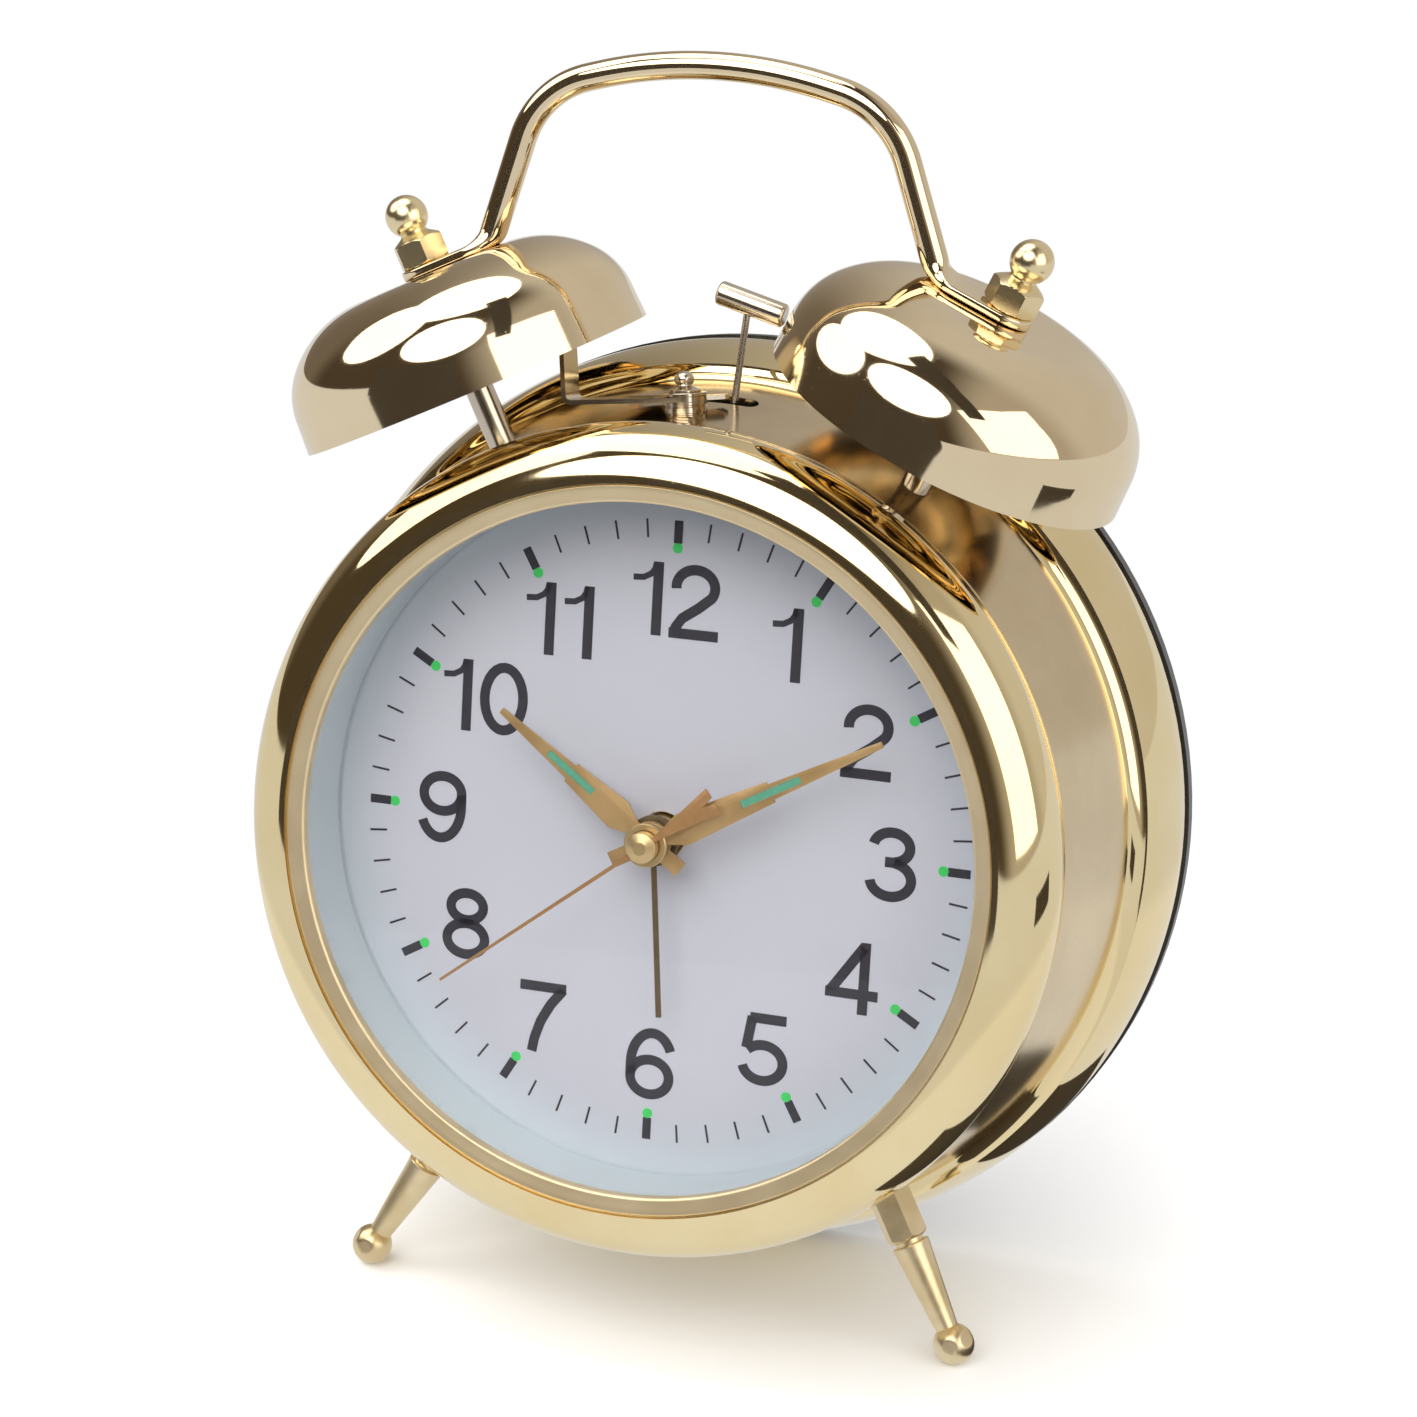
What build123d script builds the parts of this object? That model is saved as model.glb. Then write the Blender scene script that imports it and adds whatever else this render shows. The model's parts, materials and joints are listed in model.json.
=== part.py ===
from build123d import *

import os
from math import asin, atan2, cos, degrees, hypot, radians, sin, sqrt, tan

os.makedirs("parts", exist_ok=True)

# A wind-up alarm clock with two bells. Everything is drawn upright first, in the clock's own frame:
# X to the right of someone who reads the dial, Y backwards from the dial's face, Z up along the dial.
# The finished pieces are then leaned back together until the feet and the rear rim stand on the ground.

# Case, glass and dial
opening_radius = 44.0
opening_depth = -13.3
lip_width = 2.4
bezel_front_depth = -14.1
bezel_width = 6.9
bezel_widest_depth = -5.6
bezel_crown_inset = 1.85
bezel_crown_drop = 2.4
bezel_overhang = 1.5
waist_flare = 4.6
waist_back_depth = 17.8
fillet_rise = 1.4
fillet_length = 1.8
bulge_rise = 3.6
bulge_length = 9.0
rim_length = 3.8
case_wall = 0.8
case_flange_reach = 4.6
glass_thickness = 1.0
glass_setback = 1.4
glass_skirt_gap = 0.3
dial_margin = 2.2
dial_thickness = 0.6
dial_hole_clearance = 0.35
dial_foot_radius = 1.2
dial_foot_place = 31.0
dial_foot_count = 3
cover_overhang = 0.3
cover_height = 2.8
cover_wall = 0.8
cover_edge_width = 9.7
cover_dish_drop = 0.9

# Posts, bells, handle and feet
mount_depth = 9.3
crown_lean = 6.5
post_reach = 27.7
post_tilt = 24.9
post_radius = 1.85
thread_radius = 1.4
fit_clearance = 0.05
bell_rim_height = 8.7
bell_radius = 23.7
bell_height = 15.5
bell_wall = 0.8
bell_skirt = 4.5
bell_skirt_draw = 0.25
bell_shoulder_radius = 20.8
bell_shoulder_height = 10.75
bell_flat_radius = 10.0
tab_thickness = 1.4
tab_width = 7.0
tab_overhang = 6.4
handle_bar_radius = 1.75
handle_middle_overhang = 9.1
handle_middle_rise = 0.7
handle_middle_width = 4.6
handle_middle_thickness = 2.2
handle_middle_slope = 20.0
handle_leg_overhang = 11.0
handle_leg_rise = 1.63
handle_shoulder_reach = 23.05
handle_shoulder_height = 46.4
handle_crest_height = 52.4
handle_shoulder_curve = 12.5
handle_crest_curve = 60.0
nut_across_flats = 6.1
nut_height = 3.4
nut_chamfer = 0.8
nut_neck_radius = 1.9
nut_ball_radius = 2.75
nut_ball_stand = 3.05
inner_nut_across_flats = 5.5
inner_nut_height = 2.0
thread_tail = 3.2
foot_reach = 30.0
foot_tilt = 30.0
foot_lean = 6.5
foot_collar_across_flats = 5.0
foot_collar_length = 7.4
foot_neck_radius = 1.9
foot_neck_length = 0.6
foot_top_radius = 2.5
foot_end_radius = 1.5
foot_taper_length = 12.5
foot_ball_radius = 2.7
foot_ball_stand = 1.5

# Hammer and stop lever on top of the case
hammer_depth = 12.0
hammer_wire_radius = 0.45
hammer_pivot_reach = -1.1
hammer_pivot_height = 15.0
hammer_wire_top_reach = 3.5
hammer_wire_stand = 14.0
hammer_head_radius = 1.55
hammer_head_length = 9.3
hammer_head_shift = 0.6
hammer_head_rise = 1.4
hammer_head_slope = 15.5
hammer_head_round = 0.45
slot_left = -6.6
slot_right = 5.7
slot_width = 2.6
stop_pivot_reach = -2.6
stop_pivot_depth = 7.4
stop_stand = 1.1
stop_thickness = 0.6
stop_width = 5.0
stop_bend_reach = 15.8
stop_tab_height = 7.6
stop_slope = 6.0
stop_arm_reach = 5.6
stop_arm_width = 1.8
stop_arm_angle = 28.0
stop_screw_radius = 1.2
stop_washer_radius = 2.8
stop_washer_thickness = 0.5
stop_spacer_height = 2.4
stop_nut_radius = 2.2
stop_nut_height = 1.1
stop_dome_radius = 2.4
stop_dome_height = 1.4
stop_screw_reach = 6.5

# Movement plates and what holds them
plate_radius = 39.5
plate_thickness = 1.2
front_plate_depth = 7.0
rear_plate_depth = 24.0
pillar_radius = 2.0
pillar_circle = 36.0
pillar_angles = (67.0, 146.0, 214.0, 293.0)
pillar_thread_radius = 1.0
standoff_across_flats = 4.6
screw_head_radius = 2.2
screw_head_height = 1.2
screw_slot_width = 0.6
screw_slot_depth = 0.5

# Going train
end_play = 0.1
pivot_radius = 0.4
arbor_radius = 0.6
great_teeth = 40
great_module = 0.65
centre_leaves = 8
centre_teeth = 48
centre_module = 0.45
third_leaves = 6
third_teeth = 45
fourth_leaves = 6
fourth_teeth = 60
fourth_module = 0.36
escape_leaves = 6
escape_teeth = 15
escape_tip_radius = 5.2
escape_root_radius = 4.0
third_angle = 205.9
escape_angle = 26.0
wheel_thickness = 0.8
leaf_overlap = 0.3
centre_wheel_depth = 9.4
barrel_depth = 11.4
barrel_back_depth = 17.0
barrel_radius = 11.8
barrel_wall = 0.7
spring_arbor_radius = 2.0
spring_pivot_radius = 1.3
spring_turns = 3
spring_thickness = 0.35
spring_eye_radius = 3.0
third_wheel_depth = 20.4
fourth_wheel_depth = 22.2
escape_wheel_depth = 17.6
seconds_arbor_radius = 0.55
centre_bore_radius = 0.62
centre_tube_radius = 1.05
pallet_distance = 7.6
pallet_angle = 48.6
pallet_arm_reach = 3.7
pallet_arm_angle = 55.0
pallet_lever_depth = 18.9
pallet_lever_thickness = 0.6
pallet_pin_radius = 0.3
pallet_arm_width = 1.1
balance_distance = 11.1
balance_angle = 50.9
balance_radius = 8.0
balance_rim_width = 1.0
balance_rim_height = 1.4
balance_depth = 13.0
balance_arm_width = 1.4
impulse_pin_reach = 3.4
fork_length = 6.9
fork_width = 2.2
fork_notch_width = 0.9
fork_notch_length = 1.2
hairspring_depth = 15.6
hairspring_start_radius = 1.6
hairspring_pitch = 0.8
hairspring_turns = 3
hairspring_thickness = 0.25
hairspring_height = 0.6
regulator_radius = 2.4
regulator_length = 9.0
regulator_width = 1.6
regulator_thickness = 0.8
regulator_pin_radius = 0.6
regulator_angle = 45.0
regulator_slot_angle = 60.0
regulator_pin_stand = 1.6
regulator_seat_radius = 1.3

# Motion work and the hands
cannon_leaves = 8
minute_teeth = 24
motion_module = 0.5
minute_leaves = 8
hour_teeth = 32
hour_module = 0.4
setting_teeth = 24
setting_angle = 7.2
running_gap = 0.08
cannon_wheel_depth = 4.1
cannon_leaf_length = 1.4
minute_wheel_depth = 4.4
hour_wheel_depth = 2.9
alarm_wheel_depth = 1.3
cannon_radius = 1.55
tube_wall = 0.52
alarm_teeth = 40
alarm_leaves = 12
alarm_setting_distance = 17.0
alarm_setting_angle = 157.0
hand_thickness = 0.35
boss_height = 0.8
boss_radius = 2.7
alarm_hand_depth = -3.8
hour_hand_depth = -5.0
minute_hand_depth = -6.5
seconds_hand_depth = -8.0
hour_hand_angle = 305.3
minute_hand_angle = 61.2
seconds_hand_angle = 231.8
alarm_hand_angle = 175.0
hour_hand_length = 25.5
hour_hand_width = 4.3
minute_hand_length = 34.0
minute_hand_width = 4.2
seconds_hand_length = 33.7
seconds_hand_width = 0.55
seconds_tail_length = 11.5
seconds_tail_width = 3.6
seconds_tail_notch = 1.6
alarm_hand_length = 23.0
alarm_hand_width = 0.7
hand_tip_width = 0.8
hand_neck_width = 2.0
hand_tail_length = 5.2
hand_tail_width = 2.1
lume_width = 1.0
hub_cap_radius = 1.9
hub_cap_height = 0.9
hub_cone_radius = 0.9

# Alarm train
alarm_great_distance = 17.2
strike_leaves = 8
strike_teeth = 15
strike_tip_radius = 4.6
strike_root_radius = 3.6
strike_wheel_depth = 18.2
strike_angle = 31.0
hammer_anchor_reach = 2.9
hammer_anchor_width = 1.4
hammer_hub_radius = 1.5
hammer_hub_length = 2.4

# Keys and knobs behind the back cover
key_gap = 1.2
key_boss_radius = 3.0
key_boss_length = 7.0
key_wing_reach = 10.5
key_wing_height = 7.6
key_wing_thickness = 1.8
key_hole_radius = 1.8
key_thread_length = 5.0
knob_radius = 4.6
knob_height = 4.4
knob_flutes = 12
knob_flute_radius = 0.7
knob_collar_radius = 2.4
knob_collar_height = 1.6
setting_arbor_radius = 0.8
cover_hole_clearance = 0.4

# Shares of a tooth's pitch or module that shape every wheel
tip_rise_share = 0.70
root_drop_share = 0.95
tooth_root_share = 0.22
tooth_tip_share = 0.09
leaf_rise_share = 0.60
leaf_root_share = 0.21
leaf_tip_share = 0.07

overrun = 1.0

# Worked-out sizes
groove_radius = opening_radius + lip_width
dial_radius = groove_radius + dial_margin
bezel_radius = groove_radius + bezel_width
waist_front_radius = bezel_radius - bezel_overhang
waist_front_depth = dial_thickness + case_wall
waist_back_radius = waist_front_radius + waist_flare
waist_slope = atan2(waist_flare, waist_back_depth - dial_thickness)
fillet_radius = waist_back_radius + fillet_rise
fillet_depth = waist_back_depth + fillet_length
bulge_radius = fillet_radius + bulge_rise
bulge_depth = fillet_depth + bulge_length
case_back_depth = bulge_depth + rim_length
cover_radius = bulge_radius + cover_overhang
cover_back_depth = case_back_depth + cover_height
cover_dish_radius = cover_radius - cover_edge_width
mount_radius = waist_front_radius + (mount_depth - dial_thickness) * tan(waist_slope)
post_foot_height = sqrt(mount_radius**2 - post_reach**2)
foot_drop = sqrt(mount_radius**2 - foot_reach**2)
foot_taper_start = foot_collar_length + foot_neck_length
foot_length = foot_taper_start + foot_taper_length + foot_ball_stand
hammer_wire_top_height = waist_front_radius + hammer_wire_stand
stop_case_radius = waist_front_radius + (stop_pivot_depth - dial_thickness) * tan(waist_slope)
great_distance = great_module * (great_teeth + centre_leaves) / 2
third_distance = centre_module * (centre_teeth + third_leaves) / 2
third_module = 2 * third_distance / (third_teeth + fourth_leaves)
escape_distance = fourth_module * (fourth_teeth + escape_leaves) / 2
minute_distance = motion_module * (cannon_leaves + minute_teeth) / 2
setting_distance = minute_distance + motion_module * (minute_teeth + setting_teeth) / 2
alarm_module = 2 * alarm_setting_distance / (alarm_teeth + alarm_leaves)
train_front = front_plate_depth + plate_thickness
rear_plate_back = rear_plate_depth + plate_thickness
cover_front_depth = cover_back_depth - cover_wall
glass_front_depth = opening_depth + glass_setback
glass_back_depth = glass_front_depth + glass_thickness
hour_bore_radius = cannon_radius + running_gap
hour_tube_radius = hour_bore_radius + tube_wall
alarm_bore_radius = hour_tube_radius + running_gap
alarm_tube_radius = alarm_bore_radius + tube_wall
dial_hole_radius = alarm_tube_radius + dial_hole_clearance
tab_height = bell_rim_height + bell_height
nut_seat_height = tab_height + tab_thickness
nut_ball_height = nut_seat_height + nut_height + nut_ball_stand


def at(distance, angle, start=(0, 0)):
    """Point of the dial's plane at a distance from start, clockwise from straight up."""
    return (
        start[0] + distance * sin(radians(angle)),
        start[1] + distance * cos(radians(angle)),
    )


def face_at(depth):
    """Sketch plane parallel to the dial: its X is the clock's X, its Y the clock's Z."""
    return Plane.XZ.offset(-depth)


def direction(start, end):
    """Direction from one point of the dial's plane to another, counter-clockwise from +X."""
    return degrees(atan2(end[1] - start[1], end[0] - start[0]))


great_place = at(great_distance, 90)
alarm_great_place = at(alarm_great_distance, -90)
third_place = at(third_distance, third_angle)
escape_place = at(escape_distance, escape_angle)
pallet_place = at(pallet_distance, pallet_angle, escape_place)
balance_place = at(balance_distance, balance_angle, pallet_place)
minute_place = at(minute_distance, setting_angle)
setting_place = at(setting_distance, setting_angle)
alarm_setting_place = at(alarm_setting_distance, alarm_setting_angle)
strike_place = at(great_distance, strike_angle, alarm_great_place)
hammer_place = (hammer_pivot_reach, hammer_pivot_height)
pillar_places = [at(pillar_circle, angle) for angle in pillar_angles]
dial_foot_places = [at(dial_foot_place, 360 * foot / dial_foot_count) for foot in range(dial_foot_count)]


def add_rod(place, front, back, radius, mode=Mode.ADD):
    """Round bar or bore across the dial's plane, from one depth to another."""
    with BuildSketch(face_at(front)) as outline:
        with Locations(place):
            Circle(radius)
    extrude(outline.sketch, amount=front - back, mode=mode)


def add_nut(place, front, back, across_flats, mode=Mode.ADD):
    """Hexagonal bar across the dial's plane."""
    with BuildSketch(face_at(front)) as outline:
        with Locations(place):
            RegularPolygon(across_flats / 2, 6, major_radius=False)
    extrude(outline.sketch, amount=front - back, mode=mode)


def add_plate_outline(points, front, back, mode=Mode.ADD):
    """Flat piece parallel to the dial with straight edges."""
    with BuildSketch(face_at(front)) as outline:
        with BuildLine():
            Polyline(*points, close=True)
        make_face()
    extrude(outline.sketch, amount=front - back, mode=mode)


def tooth_points(place, teeth, facing, tip, root, root_share, tip_share):
    """Outline of tapered teeth, one of which points in the facing direction."""
    step = 360 / teeth
    corners = ((root, -root_share), (tip, -tip_share), (tip, tip_share), (root, root_share))
    points = []
    for tooth in range(teeth):
        for radius, share in corners:
            angle = radians(facing + (tooth + share) * step)
            points.append((place[0] + radius * cos(angle), place[1] + radius * sin(angle)))
    return points


def add_wheel(place, front, back, teeth, module, facing):
    """Wheel whose tooth points in the facing direction."""
    pitch_radius = teeth * module / 2
    tip = pitch_radius + tip_rise_share * module
    root = pitch_radius - root_drop_share * module
    points = tooth_points(place, teeth, facing, tip, root, tooth_root_share, tooth_tip_share)
    add_plate_outline(points, front, back)


def add_pinion(place, front, back, leaves, module, facing):
    """Pinion with a gap between two leaves in the facing direction."""
    pitch_radius = leaves * module / 2
    tip = pitch_radius + leaf_rise_share * module
    root = pitch_radius - root_drop_share * module
    between = facing + 180 / leaves
    points = tooth_points(place, leaves, between, tip, root, leaf_root_share, leaf_tip_share)
    add_plate_outline(points, front, back)


def add_pivots(place):
    """The thin ends of an arbor, which turn in both plates."""
    add_rod(place, front_plate_depth, train_front + end_play, pivot_radius)
    add_rod(place, rear_plate_depth - end_play, rear_plate_back, pivot_radius)


def add_arbor(place, radius=arbor_radius):
    """Arbor between the plates with its two pivots."""
    add_rod(place, train_front + end_play, rear_plate_depth - end_play, radius)
    add_pivots(place)


# The crown is the plane of both posts, both bells and the handle. It leans forward a little, because
# the posts stand square on the case's flaring waist. The feet stand in a like plane below.
crown = Plane(
    origin=(0, mount_depth, post_foot_height),
    x_dir=(1, 0, 0),
    z_dir=(0, -cos(radians(crown_lean)), -sin(radians(crown_lean))),
)
footing = Plane(
    origin=(0, mount_depth, -foot_drop),
    x_dir=(1, 0, 0),
    z_dir=(0, -cos(radians(foot_lean)), sin(radians(foot_lean))),
)


def turned(frame, across, tilt):
    """Plane at a point of a frame whose Y direction tilts towards +X; pieces there are turned about it."""
    return Plane(frame.location * Location((across, 0, 0), (0, 0, -tilt)))


def square_to(plane, height):
    """Plane square to the Y direction of another one, at a height along it."""
    return Plane(origin=plane.from_local_coords(Vector(0, height, 0)), x_dir=plane.x_dir, z_dir=plane.y_dir)


def spin_axis(plane):
    """Axis along the Y direction of a plane."""
    return Axis(plane.origin, plane.y_dir)


def wall_at(point):
    """Plane that touches the case's waist under a point, sunk to the middle of its wall."""
    radius = waist_front_radius + (point.Y - dial_thickness) * tan(waist_slope)
    outwards = Vector(point.X, 0, point.Z).normalized()
    normal = outwards * cos(waist_slope) - Vector(0, sin(waist_slope), 0)
    return Plane(origin=outwards * radius + Vector(0, point.Y, 0) - normal * (case_wall / 2), z_dir=normal)


# The stop lever's plane slopes down to the left, along the case's curve
stop_frame = Plane(
    Location((stop_pivot_reach, stop_pivot_depth, stop_case_radius + stop_stand), (0, -stop_slope, 0))
)
stop_wall = wall_at(stop_frame.origin)

sides = {"left": -1, "right": 1}
post_planes = {name: turned(crown, side * post_reach, side * post_tilt) for name, side in sides.items()}
foot_planes = {
    name: turned(footing, side * foot_reach, side * (180 - foot_tilt)) for name, side in sides.items()
}
pieces = {}


# Case drum: waist cone, hollow fillet and rear bulge, with a flange behind the dial
def case_outline(inset):
    """Half section of the drum, moved inwards by inset."""
    with BuildSketch(Plane.XY) as section:
        with BuildLine():
            waist = Line(
                (waist_front_radius - inset, waist_front_depth + inset - case_wall),
                (waist_back_radius - inset, waist_back_depth),
            )
            hollow = TangentArc(
                waist @ 1,
                (fillet_radius + (fillet_depth - waist_back_depth) / 2 - inset, fillet_depth + inset / 2),
                tangent=waist % 1,
            )
            bulge = ThreePointArc(
                hollow @ 1,
                (bulge_radius - (bulge_radius - fillet_radius) / 4 - inset, (fillet_depth + bulge_depth) / 2),
                (bulge_radius - inset, bulge_depth),
            )
            Line(bulge @ 1, (bulge_radius - inset, case_back_depth + inset))
            Line((bulge_radius - inset, case_back_depth + inset), (0, case_back_depth + inset))
            Line((0, case_back_depth + inset), (0, waist_front_depth + inset - case_wall))
            Line((0, waist_front_depth + inset - case_wall), waist @ 0)
        make_face()
    return section.sketch


with BuildPart() as case_shell:
    revolve(case_outline(0), axis=Axis.Y)
    revolve(case_outline(case_wall), axis=Axis.Y, mode=Mode.SUBTRACT)
    add_rod(
        (0, 0),
        waist_front_depth - case_wall - overrun,
        waist_front_depth + overrun,
        waist_front_radius - case_flange_reach,
        Mode.SUBTRACT,
    )
    for name in sides:
        for plane in (post_planes[name], foot_planes[name]):
            with BuildSketch(square_to(plane, -thread_tail)) as bore:
                Circle(thread_radius + fit_clearance)
            extrude(bore.sketch, amount=thread_tail + foot_collar_length, mode=Mode.SUBTRACT)
    with BuildSketch(Plane.XY.offset(post_foot_height)) as slot:
        with Locations(((slot_left + slot_right) / 2, hammer_depth)):
            SlotOverall(slot_right - slot_left, slot_width)
    extrude(slot.sketch, amount=waist_back_radius - post_foot_height, mode=Mode.SUBTRACT)
    with BuildSketch(stop_frame.offset(-stop_screw_reach)) as bore:
        Circle(stop_screw_radius + fit_clearance)
    extrude(bore.sketch, amount=stop_screw_reach + overrun, mode=Mode.SUBTRACT)
pieces["case_shell"] = case_shell

# Bezel: the wide convex ring round the front
with BuildPart() as front_bezel:
    with BuildSketch(Plane.XY):
        with BuildLine():
            face = ThreePointArc(
                (groove_radius, bezel_front_depth),
                (bezel_radius - bezel_crown_inset, bezel_front_depth + bezel_crown_drop),
                (bezel_radius, bezel_widest_depth),
            )
            turn = TangentArc(
                face @ 1,
                (waist_front_radius, waist_front_depth - case_wall),
                tangent=(0, 1),
            )
            rim = Line(turn @ 1, (waist_front_radius - case_wall, waist_front_depth - case_wall))
            inner = ThreePointArc(
                rim @ 1,
                (bezel_radius - case_wall, bezel_widest_depth),
                (bezel_radius - bezel_crown_inset - case_wall, bezel_front_depth + bezel_crown_drop + case_wall),
            )
            foot = ThreePointArc(
                inner @ 1,
                (groove_radius + case_wall * 2, bezel_front_depth + case_wall * 3 / 2),
                (groove_radius, bezel_front_depth + case_wall),
            )
            Line(foot @ 1, face @ 0)
        make_face()
    revolve(axis=Axis.Y)
pieces["front_bezel"] = front_bezel

# Lip ring: holds the glass from the front and reaches back to the dial
with BuildPart() as lip_ring:
    with BuildSketch(Plane.XY):
        with BuildLine():
            Polyline(
                (opening_radius, opening_depth),
                (groove_radius - glass_skirt_gap, opening_depth - case_wall / 2),
                (groove_radius - glass_skirt_gap, bezel_front_depth + case_wall),
                (groove_radius, bezel_front_depth + case_wall),
                (groove_radius, 0),
                (groove_radius - case_wall, 0),
                (groove_radius - case_wall, glass_front_depth),
                (opening_radius, glass_front_depth),
                close=True,
            )
        make_face()
    revolve(axis=Axis.Y)
pieces["lip_ring"] = lip_ring

# Glass: a clear cap whose skirt stands on the dial
with BuildPart() as glass:
    skirt_radius = groove_radius - case_wall
    add_rod((0, 0), glass_front_depth, 0, skirt_radius)
    add_rod((0, 0), glass_back_depth, overrun, skirt_radius - glass_thickness, Mode.SUBTRACT)
    with BuildSketch(face_at(0)) as beyond:
        Circle(skirt_radius + overrun)
    extrude(beyond.sketch, amount=-overrun, mode=Mode.SUBTRACT)
pieces["glass"] = glass

# Dial with the feet that carry the movement
with BuildPart() as dial:
    add_rod((0, 0), 0, dial_thickness, dial_radius)
    for place in dial_foot_places:
        add_rod(place, dial_thickness, front_plate_depth, dial_foot_radius)
    add_rod((0, 0), -overrun, dial_thickness + overrun, dial_hole_radius, Mode.SUBTRACT)
pieces["dial"] = dial

# Back cover: a shallow dished cap with holes for the arbors and an arc for the regulator
with BuildPart() as back_cover:
    with BuildSketch(Plane.XY):
        with BuildLine():
            Polyline(
                (0, cover_front_depth),
                (cover_dish_radius, cover_front_depth),
                (cover_dish_radius + cover_dish_drop, cover_front_depth - cover_dish_drop),
                (cover_radius - cover_wall, cover_front_depth - cover_dish_drop),
                (cover_radius - cover_wall, case_back_depth),
                (cover_radius, case_back_depth),
                (cover_radius, cover_back_depth - cover_dish_drop / 2),
                (cover_radius - cover_dish_drop / 2, cover_back_depth),
                (0, cover_back_depth),
                close=True,
            )
        make_face()
    revolve(axis=Axis.Y)
    for place in (great_place, alarm_great_place):
        hole = spring_arbor_radius + cover_hole_clearance
        add_rod(place, cover_front_depth - overrun, cover_back_depth + overrun, hole, Mode.SUBTRACT)
    for place in (setting_place, alarm_setting_place):
        hole = setting_arbor_radius + cover_hole_clearance
        add_rod(place, cover_front_depth - overrun, cover_back_depth + overrun, hole, Mode.SUBTRACT)
    for place in pillar_places:
        hole = pillar_thread_radius + fit_clearance
        add_rod(place, cover_front_depth - overrun, cover_back_depth + overrun, hole, Mode.SUBTRACT)
    with BuildSketch(face_at(cover_front_depth - overrun)) as arc_slot:
        with BuildLine() as sweep_line:
            CenterArc(
                balance_place,
                regulator_length,
                regulator_angle - regulator_slot_angle / 2,
                regulator_slot_angle,
            )
        trace(sweep_line.line, line_width=2 * (regulator_pin_radius + cover_hole_clearance))
        with Locations(sweep_line.line @ 0, sweep_line.line @ 1):
            Circle(regulator_pin_radius + cover_hole_clearance)
    extrude(arc_slot.sketch, amount=-(cover_wall + 2 * overrun), mode=Mode.SUBTRACT)
pieces["back_cover"] = back_cover

# Bell posts, trimmed to the waist they stand on, with a thread at each end
for name, plane in post_planes.items():
    with BuildPart() as bell_post:
        seat = tab_height - bell_wall
        with BuildSketch(square_to(plane, -thread_tail)) as bar:
            Circle(post_radius)
        extrude(bar.sketch, amount=seat + thread_tail)
        split(bisect_by=wall_at(plane.origin), keep=Keep.TOP)
        add(case_shell.part, mode=Mode.SUBTRACT)
        with BuildSketch(square_to(plane, -thread_tail)) as stud:
            Circle(thread_radius)
        extrude(stud.sketch, amount=thread_tail + nut_seat_height + nut_height)
    pieces[f"{name}_bell_post"] = bell_post


# Bells: spun domes with a straight skirt and a flat crown
def bell_section(plane, inset):
    """Half section of a bell on its post's plane, moved inwards by inset."""
    base = bell_rim_height
    with BuildSketch(plane) as section:
        with BuildLine():
            skirt = Line(
                (bell_radius - inset, base),
                (bell_radius - bell_skirt_draw - inset, base + bell_skirt),
            )
            shoulder = TangentArc(
                skirt @ 1,
                (bell_shoulder_radius - inset * 3 / 4, base + bell_shoulder_height - inset * 3 / 4),
                tangent=skirt % 1,
            )
            crown_arc = TangentArc(
                shoulder @ 1,
                (bell_flat_radius, base + bell_height - inset),
                tangent=shoulder % 1,
            )
            flat = Line(crown_arc @ 1, (0, base + bell_height - inset))
            middle = Line(flat @ 1, (0, base))
            Line(middle @ 1, skirt @ 0)
        make_face()
    return section.sketch


for name, plane in post_planes.items():
    with BuildPart() as bell:
        revolve(bell_section(plane, 0), axis=spin_axis(plane))
        revolve(bell_section(plane, bell_wall), axis=spin_axis(plane), mode=Mode.SUBTRACT)
        with BuildSketch(square_to(plane, bell_rim_height)) as bore:
            Circle(thread_radius + fit_clearance)
        extrude(bore.sketch, amount=bell_height + overrun, mode=Mode.SUBTRACT)
    pieces[f"{name}_bell"] = bell

# Handle: a round bar whose ends are bent and flattened into tabs over the bells
def handle_section(name, overhang, height, slope):
    """Plane across the handle's bar, at a point of a post's plane that leans inwards from the post."""
    plane = post_planes[name]
    side = sides[name]
    along = plane.x_dir * (-side * cos(radians(slope))) + plane.y_dir * sin(radians(slope))
    origin = plane.from_local_coords(Vector(-side * overhang, height, 0))
    return Plane(origin=origin, x_dir=crown.z_dir, z_dir=along)


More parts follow.
